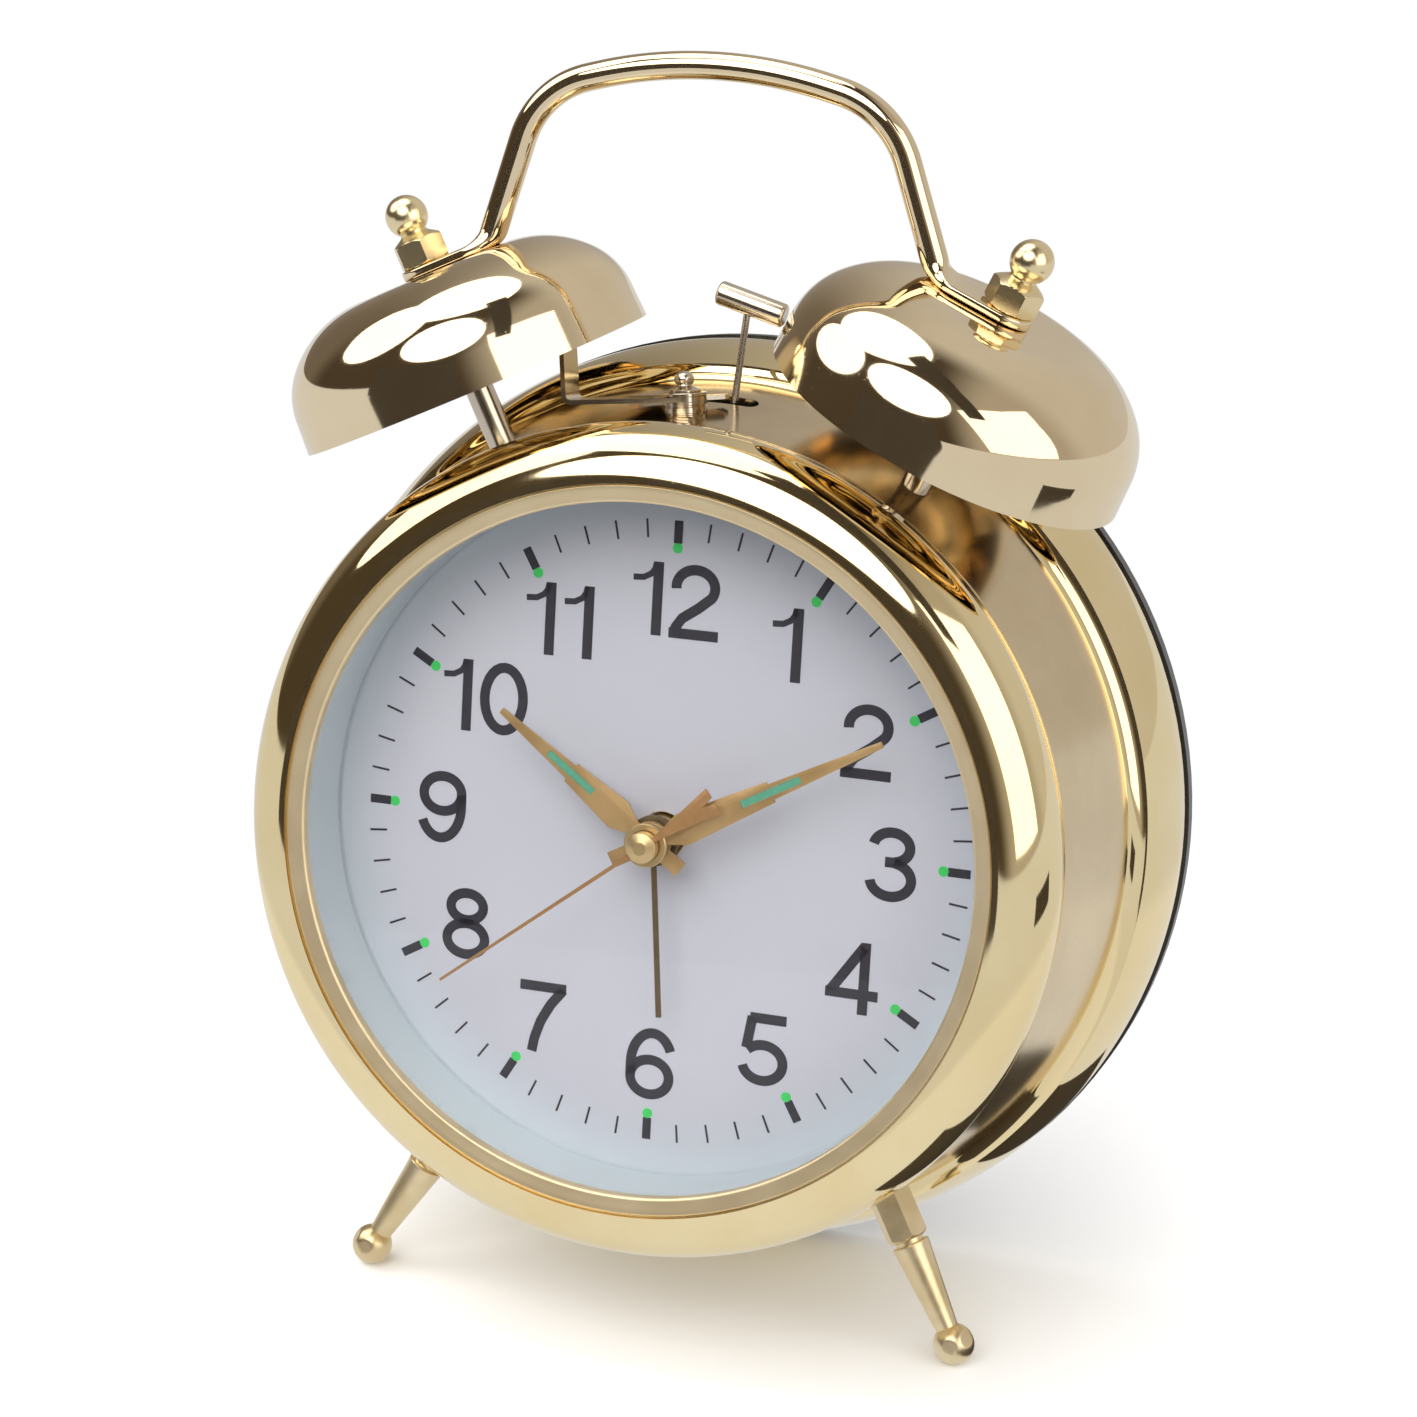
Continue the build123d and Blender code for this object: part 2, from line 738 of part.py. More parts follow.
with BuildPart() as handle:
    tab_middle = tab_height + tab_thickness / 2
    leg_height = tab_middle + handle_leg_rise
    leg_foot = crown.to_local_coords(post_planes["right"].from_local_coords(Vector(-handle_leg_overhang, leg_height, 0)))
    leg_rise = degrees(atan2(handle_shoulder_height - leg_foot.Y, leg_foot.X - handle_shoulder_reach))
    leg_slope = leg_rise - post_tilt
    with BuildLine(crown) as path:
        FilletPolyline(
            (leg_foot.X, leg_foot.Y),
            (handle_shoulder_reach, handle_shoulder_height),
            (0, handle_crest_height),
            (-handle_shoulder_reach, handle_shoulder_height),
            (-leg_foot.X, leg_foot.Y),
            radius=[handle_shoulder_curve, handle_crest_curve, handle_shoulder_curve],
        )
    with BuildSketch(handle_section("right", handle_leg_overhang, leg_height, leg_slope)) as bar:
        Circle(handle_bar_radius)
    sweep(bar.sketch, path=path.line)
    for name, side in sides.items():
        with BuildSketch(handle_section(name, tab_overhang, tab_middle, 0)) as flat_end:
            Ellipse(tab_width / 2, tab_thickness / 2)
        middle_height = tab_middle + handle_middle_rise
        with BuildSketch(handle_section(name, handle_middle_overhang, middle_height, handle_middle_slope)) as bend:
            Ellipse(handle_middle_width / 2, handle_middle_thickness / 2)
        with BuildSketch(handle_section(name, handle_leg_overhang, leg_height, leg_slope)) as bar_end:
            Circle(handle_bar_radius)
        loft([flat_end.sketch, bend.sketch, bar_end.sketch])
        with BuildSketch(square_to(post_planes[name], tab_height)) as tab:
            with Locations((-side * tab_overhang / 2, 0)):
                Rectangle(tab_overhang, tab_width)
            Circle(tab_width / 2)
            Circle(thread_radius + fit_clearance, mode=Mode.SUBTRACT)
        extrude(tab.sketch, amount=tab_thickness)
pieces["handle"] = handle

# Nuts with a ball on top, one over each tab
with BuildPart() as ball_nuts:
    for plane in post_planes.values():
        with BuildSketch(square_to(plane, nut_seat_height)) as hexagon:
            RegularPolygon(nut_across_flats / 2, 6, major_radius=False)
        extrude(hexagon.sketch, amount=nut_height)
        with BuildSketch(plane) as crest:
            with BuildLine():
                Polyline(
                    (0, nut_seat_height + nut_height),
                    (nut_across_flats / 2, nut_seat_height + nut_height),
                    (nut_neck_radius, nut_seat_height + nut_height + nut_chamfer),
                    (nut_neck_radius, nut_ball_height),
                    (0, nut_ball_height),
                    close=True,
                )
            make_face()
        revolve(crest.sketch, axis=spin_axis(plane))
        with Locations(Location(plane.from_local_coords(Vector(0, nut_ball_height, 0)))):
            Sphere(nut_ball_radius)
        with BuildSketch(square_to(plane, nut_seat_height)) as bore:
            Circle(thread_radius)
        extrude(bore.sketch, amount=nut_height, mode=Mode.SUBTRACT)
pieces["ball_nuts"] = ball_nuts


# Feet: hexagonal collar, taper and ball, turned from one bar
for name, plane in foot_planes.items():
    with BuildPart() as foot:
        with BuildSketch(square_to(plane, -thread_tail)) as collar:
            RegularPolygon(foot_collar_across_flats / 2, 6, major_radius=False)
        extrude(collar.sketch, amount=foot_collar_length + thread_tail)
        split(bisect_by=wall_at(plane.origin), keep=Keep.TOP)
        add(case_shell.part, mode=Mode.SUBTRACT)
        with BuildSketch(plane) as taper:
            with BuildLine():
                Polyline(
                    (0, foot_collar_length),
                    (foot_neck_radius, foot_collar_length),
                    (foot_neck_radius, foot_taper_start),
                    (foot_top_radius, foot_taper_start),
                    (foot_end_radius, foot_taper_start + foot_taper_length),
                    (foot_end_radius, foot_length),
                    (0, foot_length),
                    close=True,
                )
            make_face()
        revolve(taper.sketch, axis=spin_axis(plane))
        with Locations(Location(plane.from_local_coords(Vector(0, foot_length, 0)))):
            Sphere(foot_ball_radius)
        with BuildSketch(square_to(plane, -thread_tail)) as stud:
            Circle(thread_radius)
        extrude(stud.sketch, amount=thread_tail + foot_collar_length)
    pieces[f"{name}_foot"] = foot


# Nuts inside the case, trimmed to the wall they pull against
for label, planes in (("post_nuts", post_planes), ("foot_nuts", foot_planes)):
    with BuildPart() as inner_nuts:
        for plane in planes.values():
            with BuildPart(mode=Mode.PRIVATE) as inner_nut:
                with BuildSketch(square_to(plane, 0)) as hexagon:
                    RegularPolygon(inner_nut_across_flats / 2, 6, major_radius=False)
                    Circle(thread_radius, mode=Mode.SUBTRACT)
                extrude(hexagon.sketch, amount=-(inner_nut_height + case_wall))
                split(bisect_by=wall_at(plane.origin), keep=Keep.BOTTOM)
                add(case_shell.part, mode=Mode.SUBTRACT)
            add(inner_nut.part)
    pieces[label] = inner_nuts

# Movement plates with the holes of every arbor
pivot_places = (third_place, escape_place, pallet_place, strike_place, hammer_place)
with BuildPart() as front_plate:
    add_rod((0, 0), front_plate_depth, train_front, plate_radius)
    for place in pivot_places + (balance_place,):
        hole = pivot_radius + fit_clearance
        add_rod(place, front_plate_depth - overrun, train_front + overrun, hole, Mode.SUBTRACT)
    for place in (great_place, alarm_great_place):
        hole = spring_pivot_radius + fit_clearance
        add_rod(place, front_plate_depth - overrun, train_front + overrun, hole, Mode.SUBTRACT)
    for place in (setting_place, alarm_setting_place):
        hole = setting_arbor_radius + fit_clearance
        add_rod(place, front_plate_depth - overrun, train_front + overrun, hole, Mode.SUBTRACT)
    add_rod(minute_place, front_plate_depth - overrun, train_front + overrun, arbor_radius, Mode.SUBTRACT)
    hole = centre_tube_radius + fit_clearance
    add_rod((0, 0), front_plate_depth - overrun, train_front + overrun, hole, Mode.SUBTRACT)
pieces["front_plate"] = front_plate

with BuildPart() as rear_plate:
    add_rod((0, 0), rear_plate_depth, rear_plate_back, plate_radius)
    seat_back = rear_plate_back + regulator_thickness * 3 / 2
    add_rod(balance_place, rear_plate_back, seat_back, regulator_seat_radius)
    for place in pivot_places + (balance_place, (0, 0)):
        hole = pivot_radius + fit_clearance
        add_rod(place, rear_plate_depth - overrun, seat_back + overrun, hole, Mode.SUBTRACT)
    for place in (great_place, alarm_great_place):
        hole = spring_arbor_radius + fit_clearance
        add_rod(place, rear_plate_depth - overrun, rear_plate_back + overrun, hole, Mode.SUBTRACT)
    for place in (setting_place, alarm_setting_place):
        hole = setting_arbor_radius + fit_clearance
        add_rod(place, rear_plate_depth - overrun, rear_plate_back + overrun, hole, Mode.SUBTRACT)
    for place in pillar_places:
        hole = pillar_thread_radius
        add_rod(place, rear_plate_depth - overrun, rear_plate_back + overrun, hole, Mode.SUBTRACT)
pieces["rear_plate"] = rear_plate

# Pillars between the plates, standoffs behind them and the screws of the back cover
with BuildPart() as plate_pillars:
    for place in pillar_places:
        add_rod(place, train_front, rear_plate_depth, pillar_radius)
        add_rod(place, rear_plate_depth, rear_plate_back + overrun, pillar_thread_radius)
pieces["plate_pillars"] = plate_pillars

with BuildPart() as cover_standoffs:
    for place in pillar_places:
        add_nut(place, rear_plate_back, cover_front_depth, standoff_across_flats)
        add_rod(place, rear_plate_back, cover_front_depth, pillar_thread_radius, Mode.SUBTRACT)
pieces["cover_standoffs"] = cover_standoffs

with BuildPart() as cover_screws:
    for place in pillar_places:
        add_rod(place, cover_front_depth - screw_head_radius * 2, cover_back_depth, pillar_thread_radius)
        add_rod(place, cover_back_depth, cover_back_depth + screw_head_height, screw_head_radius)
        with BuildSketch(face_at(cover_back_depth + screw_head_height - screw_slot_depth)) as cut:
            with Locations(place):
                Rectangle(screw_head_radius * 3, screw_slot_width)
        extrude(cut.sketch, amount=-(screw_slot_depth + overrun), mode=Mode.SUBTRACT)
pieces["cover_screws"] = cover_screws

# Seconds arbor at the centre, with its pinion, wheel, hand and cap
with BuildPart() as seconds_arbor:
    add_rod((0, 0), seconds_hand_depth, rear_plate_depth - end_play, seconds_arbor_radius)
    add_rod((0, 0), rear_plate_depth - end_play, rear_plate_back, pivot_radius)
    fourth_pinion_facing = direction((0, 0), third_place)
    add_pinion(
        (0, 0),
        third_wheel_depth - leaf_overlap,
        third_wheel_depth + wheel_thickness + leaf_overlap,
        fourth_leaves,
        third_module,
        fourth_pinion_facing,
    )
pieces["seconds_arbor"] = seconds_arbor

with BuildPart() as fourth_wheel:
    facing = direction((0, 0), escape_place)
    add_wheel((0, 0), fourth_wheel_depth, fourth_wheel_depth + wheel_thickness, fourth_teeth, fourth_module, facing)
    add_rod(
        (0, 0), fourth_wheel_depth - overrun, fourth_wheel_depth + 2 * overrun, seconds_arbor_radius, Mode.SUBTRACT
    )
pieces["fourth_wheel"] = fourth_wheel


def hand_point(along, across, angle):
    """Point of a hand: along its length and across it, for a hand at a clock angle."""
    turn = radians(angle)
    return (
        along * sin(turn) + across * cos(turn),
        along * cos(turn) - across * sin(turn),
    )


def hand_outline(angle, stations):
    """Outline of a hand from pairs of distance and half width, mirrored about its length."""
    right = [hand_point(along, half, angle) for along, half in stations]
    left = [hand_point(along, -half, angle) for along, half in reversed(stations)]
    return right + left


# Seconds hand: a needle with a flared tail, notched like a dart
with BuildPart() as seconds_hand:
    front = seconds_hand_depth
    back = front + hand_thickness
    stations = (
        (-seconds_tail_length, seconds_tail_width / 2),
        (-hub_cap_radius, seconds_hand_width / 2),
        (seconds_hand_length, seconds_hand_width / 3),
    )
    add_plate_outline(hand_outline(seconds_hand_angle, stations), front, back)
    notch = (
        (-seconds_tail_length - overrun, seconds_tail_notch / 2),
        (-seconds_tail_length + seconds_tail_notch, 0),
    )
    points = [hand_point(along, across, seconds_hand_angle) for along, across in notch]
    points.append(hand_point(-seconds_tail_length - overrun, -seconds_tail_notch / 2, seconds_hand_angle))
    add_plate_outline(points, front - overrun, back + overrun, Mode.SUBTRACT)
    add_rod((0, 0), front - hub_cap_height, back + boss_height / 2, hub_cap_radius)
    add_rod((0, 0), front, back + boss_height, seconds_arbor_radius, Mode.SUBTRACT)
    cap_edge = faces().filter_by(Axis.Y).sort_by(Axis.Y)[0].edges()
    chamfer(cap_edge, length=hub_cap_height / 2, length2=hub_cap_radius - hub_cone_radius)
pieces["seconds_hand"] = seconds_hand

# Third wheel between the centre wheel and the seconds pinion
with BuildPart() as third_wheel:
    add_arbor(third_place)
    facing = direction(third_place, (0, 0))
    add_wheel(
        third_place, third_wheel_depth, third_wheel_depth + wheel_thickness, third_teeth, third_module, facing
    )
    add_pinion(
        third_place,
        centre_wheel_depth - leaf_overlap,
        centre_wheel_depth + wheel_thickness + leaf_overlap,
        third_leaves,
        centre_module,
        facing,
    )
pieces["third_wheel"] = third_wheel

# Centre arbor: a tube round the seconds arbor, with the pinion that the great wheel drives
with BuildPart() as centre_arbor:
    add_rod((0, 0), minute_hand_depth + hand_thickness, barrel_depth + 2 * overrun, centre_tube_radius)
    add_pinion(
        (0, 0),
        barrel_depth - leaf_overlap,
        barrel_depth + overrun + leaf_overlap,
        centre_leaves,
        great_module,
        direction((0, 0), great_place),
    )
    add_rod((0, 0), minute_hand_depth - overrun, rear_plate_depth, centre_bore_radius, Mode.SUBTRACT)
pieces["centre_arbor"] = centre_arbor

with BuildPart() as centre_wheel:
    facing = direction((0, 0), third_place)
    add_wheel((0, 0), centre_wheel_depth, centre_wheel_depth + wheel_thickness, centre_teeth, centre_module, facing)
    add_rod(
        (0, 0), centre_wheel_depth - overrun, centre_wheel_depth + 2 * overrun, centre_tube_radius, Mode.SUBTRACT
    )
pieces["centre_wheel"] = centre_wheel

# Cannon pinion: friction tight on the centre arbor, it carries the minute hand
with BuildPart() as cannon_pinion:
    add_rod((0, 0), minute_hand_depth + hand_thickness, cannon_wheel_depth, cannon_radius)
    add_pinion(
        (0, 0),
        cannon_wheel_depth,
        cannon_wheel_depth + cannon_leaf_length,
        cannon_leaves,
        motion_module,
        direction((0, 0), minute_place),
    )
    add_rod((0, 0), minute_hand_depth, rear_plate_depth, centre_tube_radius, Mode.SUBTRACT)
pieces["cannon_pinion"] = cannon_pinion


def add_pointed_hand(front, angle, length, width, window_start, window_end, bore, seat):
    """Broad hand with a boss that seats on its tube, a square tail and a window for the luminous paint."""
    back = front + hand_thickness
    stations = (
        (-hand_tail_length, hand_tail_width / 2),
        (0, hand_tail_width / 2),
        (boss_radius, hand_neck_width / 2),
        (boss_radius * 2, width / 2),
        ((window_start + window_end) / 2, width / 3),
        ((window_start + window_end) / 2, width / 4),
        (length, hand_tip_width / 2),
    )
    add_plate_outline(hand_outline(angle, stations), front, back)
    add_rod((0, 0), front - boss_height / 4, back + boss_height / 2, boss_radius)
    window = (
        (window_start, lume_width / 2),
        (window_end, lume_width / 2),
    )
    add_plate_outline(hand_outline(angle, window), front - overrun, back + overrun, Mode.SUBTRACT)
    add_rod((0, 0), front - overrun, back + overrun, bore, Mode.SUBTRACT)
    add_rod((0, 0), back, back + overrun, seat, Mode.SUBTRACT)


hour_window_share = (0.38, 0.68)
minute_window_share = (0.41, 0.66)
with BuildPart() as minute_hand:
    add_pointed_hand(
        minute_hand_depth,
        minute_hand_angle,
        minute_hand_length,
        minute_hand_width,
        minute_hand_length * minute_window_share[0],
        minute_hand_length * minute_window_share[1],
        seconds_arbor_radius + running_gap,
        cannon_radius,
    )
pieces["minute_hand"] = minute_hand

# Minute wheel: carries the drive from the cannon pinion to the hour wheel, on a stud of the front plate
with BuildPart() as minute_wheel:
    add_wheel(
        minute_place,
        minute_wheel_depth,
        minute_wheel_depth + wheel_thickness,
        minute_teeth,
        motion_module,
        direction(minute_place, (0, 0)),
    )
    add_pinion(
        minute_place,
        hour_wheel_depth - leaf_overlap,
        minute_wheel_depth,
        minute_leaves,
        hour_module,
        direction(minute_place, (0, 0)),
    )
    add_rod(minute_place, hour_wheel_depth - overrun, front_plate_depth, arbor_radius + fit_clearance, Mode.SUBTRACT)
pieces["minute_wheel"] = minute_wheel

with BuildPart() as minute_stud:
    add_rod(minute_place, hour_wheel_depth - leaf_overlap, train_front, arbor_radius)
pieces["minute_stud"] = minute_stud

# Hour wheel on its tube, and the hour hand
with BuildPart() as hour_wheel:
    add_rod((0, 0), hour_hand_depth + hand_thickness, hour_wheel_depth, hour_tube_radius)
    add_wheel(
        (0, 0),
        hour_wheel_depth,
        hour_wheel_depth + wheel_thickness,
        hour_teeth,
        hour_module,
        direction((0, 0), minute_place),
    )
    add_rod((0, 0), hour_hand_depth - overrun, hour_wheel_depth + 2 * overrun, hour_bore_radius, Mode.SUBTRACT)
pieces["hour_wheel"] = hour_wheel

with BuildPart() as hour_hand:
    add_pointed_hand(
        hour_hand_depth,
        hour_hand_angle,
        hour_hand_length,
        hour_hand_width,
        hour_hand_length * hour_window_share[0],
        hour_hand_length * hour_window_share[1],
        hour_bore_radius,
        hour_tube_radius,
    )
pieces["hour_hand"] = hour_hand

# Time setting arbor with its wheel, and the knob behind the cover
with BuildPart() as setting_arbor:
    add_rod(setting_place, minute_wheel_depth, cover_back_depth + key_gap + knob_height, setting_arbor_radius)
    add_wheel(
        setting_place,
        minute_wheel_depth,
        minute_wheel_depth + wheel_thickness,
        setting_teeth,
        motion_module,
        direction(setting_place, minute_place) + 180 / setting_teeth,
    )
pieces["setting_arbor"] = setting_arbor

with BuildPart() as alarm_setting_arbor:
    add_rod(
        alarm_setting_place, alarm_wheel_depth, cover_back_depth + key_gap + knob_height, setting_arbor_radius
    )
    add_pinion(
        alarm_setting_place,
        alarm_wheel_depth - leaf_overlap,
        alarm_wheel_depth + wheel_thickness + leaf_overlap,
        alarm_leaves,
        alarm_module,
        direction(alarm_setting_place, (0, 0)),
    )
pieces["alarm_setting_arbor"] = alarm_setting_arbor


def add_knob(place):
    """Fluted knob with a collar, pressed on its arbor."""
    front = cover_back_depth + key_gap
    add_rod(place, front, front + knob_collar_height, knob_collar_radius)
    with BuildSketch(face_at(front + knob_collar_height)) as rim:
        with Locations(place):
            Circle(knob_radius)
            with PolarLocations(knob_radius, knob_flutes):
                Circle(knob_flute_radius, mode=Mode.SUBTRACT)
    extrude(rim.sketch, amount=knob_collar_height - knob_height)
    add_rod(place, front - overrun, front + knob_height + overrun, setting_arbor_radius, Mode.SUBTRACT)


for label, place in (("time_set_knob", setting_place), ("alarm_set_knob", alarm_setting_place)):
    with BuildPart() as knob:
        add_knob(place)
    pieces[label] = knob

# Alarm wheel on its tube, and the alarm hand
with BuildPart() as alarm_wheel:
    add_rod((0, 0), alarm_hand_depth + hand_thickness, alarm_wheel_depth, alarm_tube_radius)
    add_wheel(
        (0, 0),
        alarm_wheel_depth,
        alarm_wheel_depth + wheel_thickness,
        alarm_teeth,
        alarm_module,
        direction((0, 0), alarm_setting_place),
    )
    add_rod((0, 0), alarm_hand_depth - overrun, alarm_wheel_depth + 2 * overrun, alarm_bore_radius, Mode.SUBTRACT)
pieces["alarm_wheel"] = alarm_wheel

with BuildPart() as alarm_hand:
    front = alarm_hand_depth
    back = front + hand_thickness
    stations = (
        (0, alarm_hand_width / 2),
        (alarm_hand_length, alarm_hand_width / 2),
    )
    add_plate_outline(hand_outline(alarm_hand_angle, stations), front, back)
    add_rod((0, 0), front, back + boss_height / 2, alarm_tube_radius + tube_wall)
    add_rod((0, 0), front - overrun, back, alarm_bore_radius, Mode.SUBTRACT)
    add_rod((0, 0), back, back + boss_height, alarm_tube_radius, Mode.SUBTRACT)
pieces["alarm_hand"] = alarm_hand


# Spring barrels with their great wheels, the springs inside and the winding arbors
def add_spiral(place, start_radius, pitch, turns, thickness, front, back):
    """Flat spiral of half circles, each wider than the last by half the pitch."""
    with BuildSketch(face_at(front)) as coil:
        with BuildLine() as centre_line:
            end = (place[0] + start_radius, place[1])
            for half in range(2 * turns):
                radius = start_radius + half * pitch / 2
                sign = 1 if half % 2 == 0 else -1
                middle = (end[0] - sign * radius, end[1] + sign * radius)
                target = (end[0] - sign * 2 * radius, end[1])
                ThreePointArc(end, middle, target)
                end = target
        trace(centre_line.line, line_width=thickness)
    extrude(coil.sketch, amount=front - back)


for label, place, partner in (
    ("time_barrel", great_place, (0, 0)),
    ("alarm_barrel", alarm_great_place, strike_place),
):
    with BuildPart() as barrel:
        add_wheel(
            place,
            barrel_depth,
            barrel_depth + overrun,
            great_teeth,
            great_module,
            direction(place, partner),
        )
        add_rod(place, barrel_depth + overrun, barrel_back_depth, barrel_radius)
        add_rod(
            place,
            barrel_depth + overrun,
            barrel_back_depth - barrel_wall,
            barrel_radius - barrel_wall,
            Mode.SUBTRACT,
        )
        add_rod(
            place,
            barrel_depth - overrun,
            barrel_back_depth + overrun,
            spring_arbor_radius + fit_clearance,
            Mode.SUBTRACT,
        )
    pieces[label] = barrel

for label, place in (("time_mainspring", great_place), ("alarm_mainspring", alarm_great_place)):
    with BuildPart() as mainspring:
        spring_reach = barrel_radius - barrel_wall - spring_thickness / 2
        add_spiral(
            place,
            spring_eye_radius,
            (spring_reach - spring_eye_radius) / spring_turns,
            spring_turns,
            spring_thickness,
            barrel_depth + 3 * overrun / 2,
            barrel_back_depth - 2 * barrel_wall,
        )
    pieces[label] = mainspring

for label, place in (("time_spring_arbor", great_place), ("alarm_spring_arbor", alarm_great_place)):
    with BuildPart() as spring_arbor:
        add_rod(place, front_plate_depth, train_front + end_play, spring_pivot_radius)
        add_rod(place, train_front + end_play, cover_back_depth + key_gap, spring_arbor_radius)
        add_rod(
            place,
            cover_back_depth + key_gap,
            cover_back_depth + key_gap + key_thread_length,
            spring_pivot_radius,
        )
    pieces[label] = spring_arbor

# Winding keys: a boss with two flat wings
for label, place in (("time_winding_key", great_place), ("alarm_winding_key", alarm_great_place)):
    with BuildPart() as key:
        front = cover_back_depth + key_gap
        add_rod(place, front, front + key_boss_length, key_boss_radius)
        wing_front = front + key_boss_length - key_wing_height
        with BuildSketch(Plane.XY.offset(place[1] - key_wing_thickness / 2)) as wings:
            wing_middle = front + key_boss_length
            with Locations((place[0], wing_middle)):
                with Locations((-key_wing_reach + key_wing_height / 2, 0), (key_wing_reach - key_wing_height / 2, 0)):
                    Circle(key_wing_height / 2)
                Rectangle(2 * key_wing_reach - key_wing_height, key_wing_height * 2 / 3)
                with Locations((-key_wing_reach + key_wing_height / 2, 0), (key_wing_reach - key_wing_height / 2, 0)):
                    Circle(key_hole_radius, mode=Mode.SUBTRACT)
        extrude(wings.sketch, amount=key_wing_thickness)
        add_rod(place, front - overrun, front + key_thread_length, spring_pivot_radius, Mode.SUBTRACT)
    pieces[label] = key


# Escapement: escape wheel, pallet lever, balance with its hairspring, and the regulator
with BuildPart() as escape_wheel:
    add_arbor(escape_place)
    points = tooth_points(
        escape_place,
        escape_teeth,
        direction(escape_place, pallet_place) + 180 / escape_teeth,
        escape_tip_radius,
        escape_root_radius,
        tooth_root_share,
        tooth_tip_share,
    )
    add_plate_outline(points, escape_wheel_depth, escape_wheel_depth + wheel_thickness)
    add_pinion(
        escape_place,
        fourth_wheel_depth - leaf_overlap,
        fourth_wheel_depth + wheel_thickness + leaf_overlap,
        escape_leaves,
        fourth_module,
        direction(escape_place, (0, 0)),
    )
pieces["escape_wheel"] = escape_wheel

with BuildPart() as pallet_lever:
    add_arbor(pallet_place)
    front = pallet_lever_depth
    back = front + pallet_lever_thickness
    to_wheel = pallet_angle + 180
    for turn in (-pallet_arm_angle, pallet_arm_angle):
        pin_place = at(pallet_arm_reach, to_wheel + turn, pallet_place)
        side = at(pallet_arm_width / 2, to_wheel + turn + 90)
        points = (
            (pallet_place[0] + side[0], pallet_place[1] + side[1]),
            (pin_place[0] + side[0], pin_place[1] + side[1]),
            (pin_place[0] - side[0], pin_place[1] - side[1]),
            (pallet_place[0] - side[0], pallet_place[1] - side[1]),
        )
        add_plate_outline(points, front, back)
        add_rod(pin_place, escape_wheel_depth, back, pallet_pin_radius)
    fork_end = at(fork_length, balance_angle, pallet_place)
    half = at(fork_width / 2, balance_angle + 90)
    points = (
        pallet_place,
        (fork_end[0] + half[0], fork_end[1] + half[1]),
        (fork_end[0] - half[0], fork_end[1] - half[1]),
    )
    add_plate_outline(points, front, back)
    notch_base = at(fork_length - fork_notch_length, balance_angle, pallet_place)
    notch_mouth = at(fork_length + overrun, balance_angle, pallet_place)
    half = at(fork_notch_width / 2, balance_angle + 90)
    points = (
        (notch_base[0] + half[0], notch_base[1] + half[1]),
        (notch_mouth[0] + half[0], notch_mouth[1] + half[1]),
        (notch_mouth[0] - half[0], notch_mouth[1] - half[1]),
        (notch_base[0] - half[0], notch_base[1] - half[1]),
    )
    add_plate_outline(points, front - overrun, back + overrun, Mode.SUBTRACT)
pieces["pallet_lever"] = pallet_lever

with BuildPart() as balance_wheel:
    add_arbor(balance_place)
    with BuildSketch(face_at(balance_depth)) as rim:
        with Locations(balance_place):
            Circle(balance_radius)
            Circle(balance_radius - balance_rim_width, mode=Mode.SUBTRACT)
            Rectangle(2 * balance_radius - balance_rim_width, balance_arm_width)
            Circle(hairspring_start_radius * 2)
    extrude(rim.sketch, amount=-balance_rim_height)
    pin_place = at(impulse_pin_reach, balance_angle + 180, balance_place)
    collet_radius = hairspring_start_radius - hairspring_thickness / 2
    add_rod(balance_place, balance_depth, hairspring_depth + hairspring_height, collet_radius)
    roller_back = escape_wheel_depth + wheel_thickness
    add_rod(balance_place, escape_wheel_depth, roller_back, impulse_pin_reach + pivot_radius)
    add_rod(pin_place, roller_back, pallet_lever_depth + pallet_lever_thickness, pallet_pin_radius)
pieces["balance_wheel"] = balance_wheel

with BuildPart() as hairspring:
    add_spiral(
        balance_place,
        hairspring_start_radius,
        hairspring_pitch,
        hairspring_turns,
        hairspring_thickness,
        hairspring_depth,
        hairspring_depth + hairspring_height,
    )
pieces["hairspring"] = hairspring

with BuildPart() as regulator_lever:
    front = rear_plate_back + regulator_thickness / 4
    back = front + regulator_thickness
    with BuildSketch(face_at(front)) as lever:
        with Locations(balance_place):
            Circle(regulator_radius)
            with Locations(Location((0, 0), regulator_angle)):
                with Locations((regulator_length / 2, 0)):
                    SlotOverall(regulator_length + regulator_width, regulator_width)
            Circle(regulator_seat_radius + fit_clearance, mode=Mode.SUBTRACT)
    extrude(lever.sketch, amount=-regulator_thickness)
    tail = at(regulator_length, 90 - regulator_angle, balance_place)
    add_rod(tail, back, cover_back_depth + regulator_pin_stand, regulator_pin_radius)
pieces["regulator_lever"] = regulator_lever

# Alarm strike wheel, and the hammer: arbor with its anchor, wire and head
with BuildPart() as strike_wheel:
    add_arbor(strike_place)
    points = tooth_points(
        strike_place,
        strike_teeth,
        direction(strike_place, hammer_place) + 180 / strike_teeth,
        strike_tip_radius,
        strike_root_radius,
        tooth_root_share,
        tooth_tip_share,
    )
    add_plate_outline(points, strike_wheel_depth, strike_wheel_depth + wheel_thickness)
    add_pinion(
        strike_place,
        barrel_depth - leaf_overlap,
        barrel_depth + overrun + leaf_overlap,
        strike_leaves,
        great_module,
        direction(strike_place, alarm_great_place),
    )
pieces["strike_wheel"] = strike_wheel

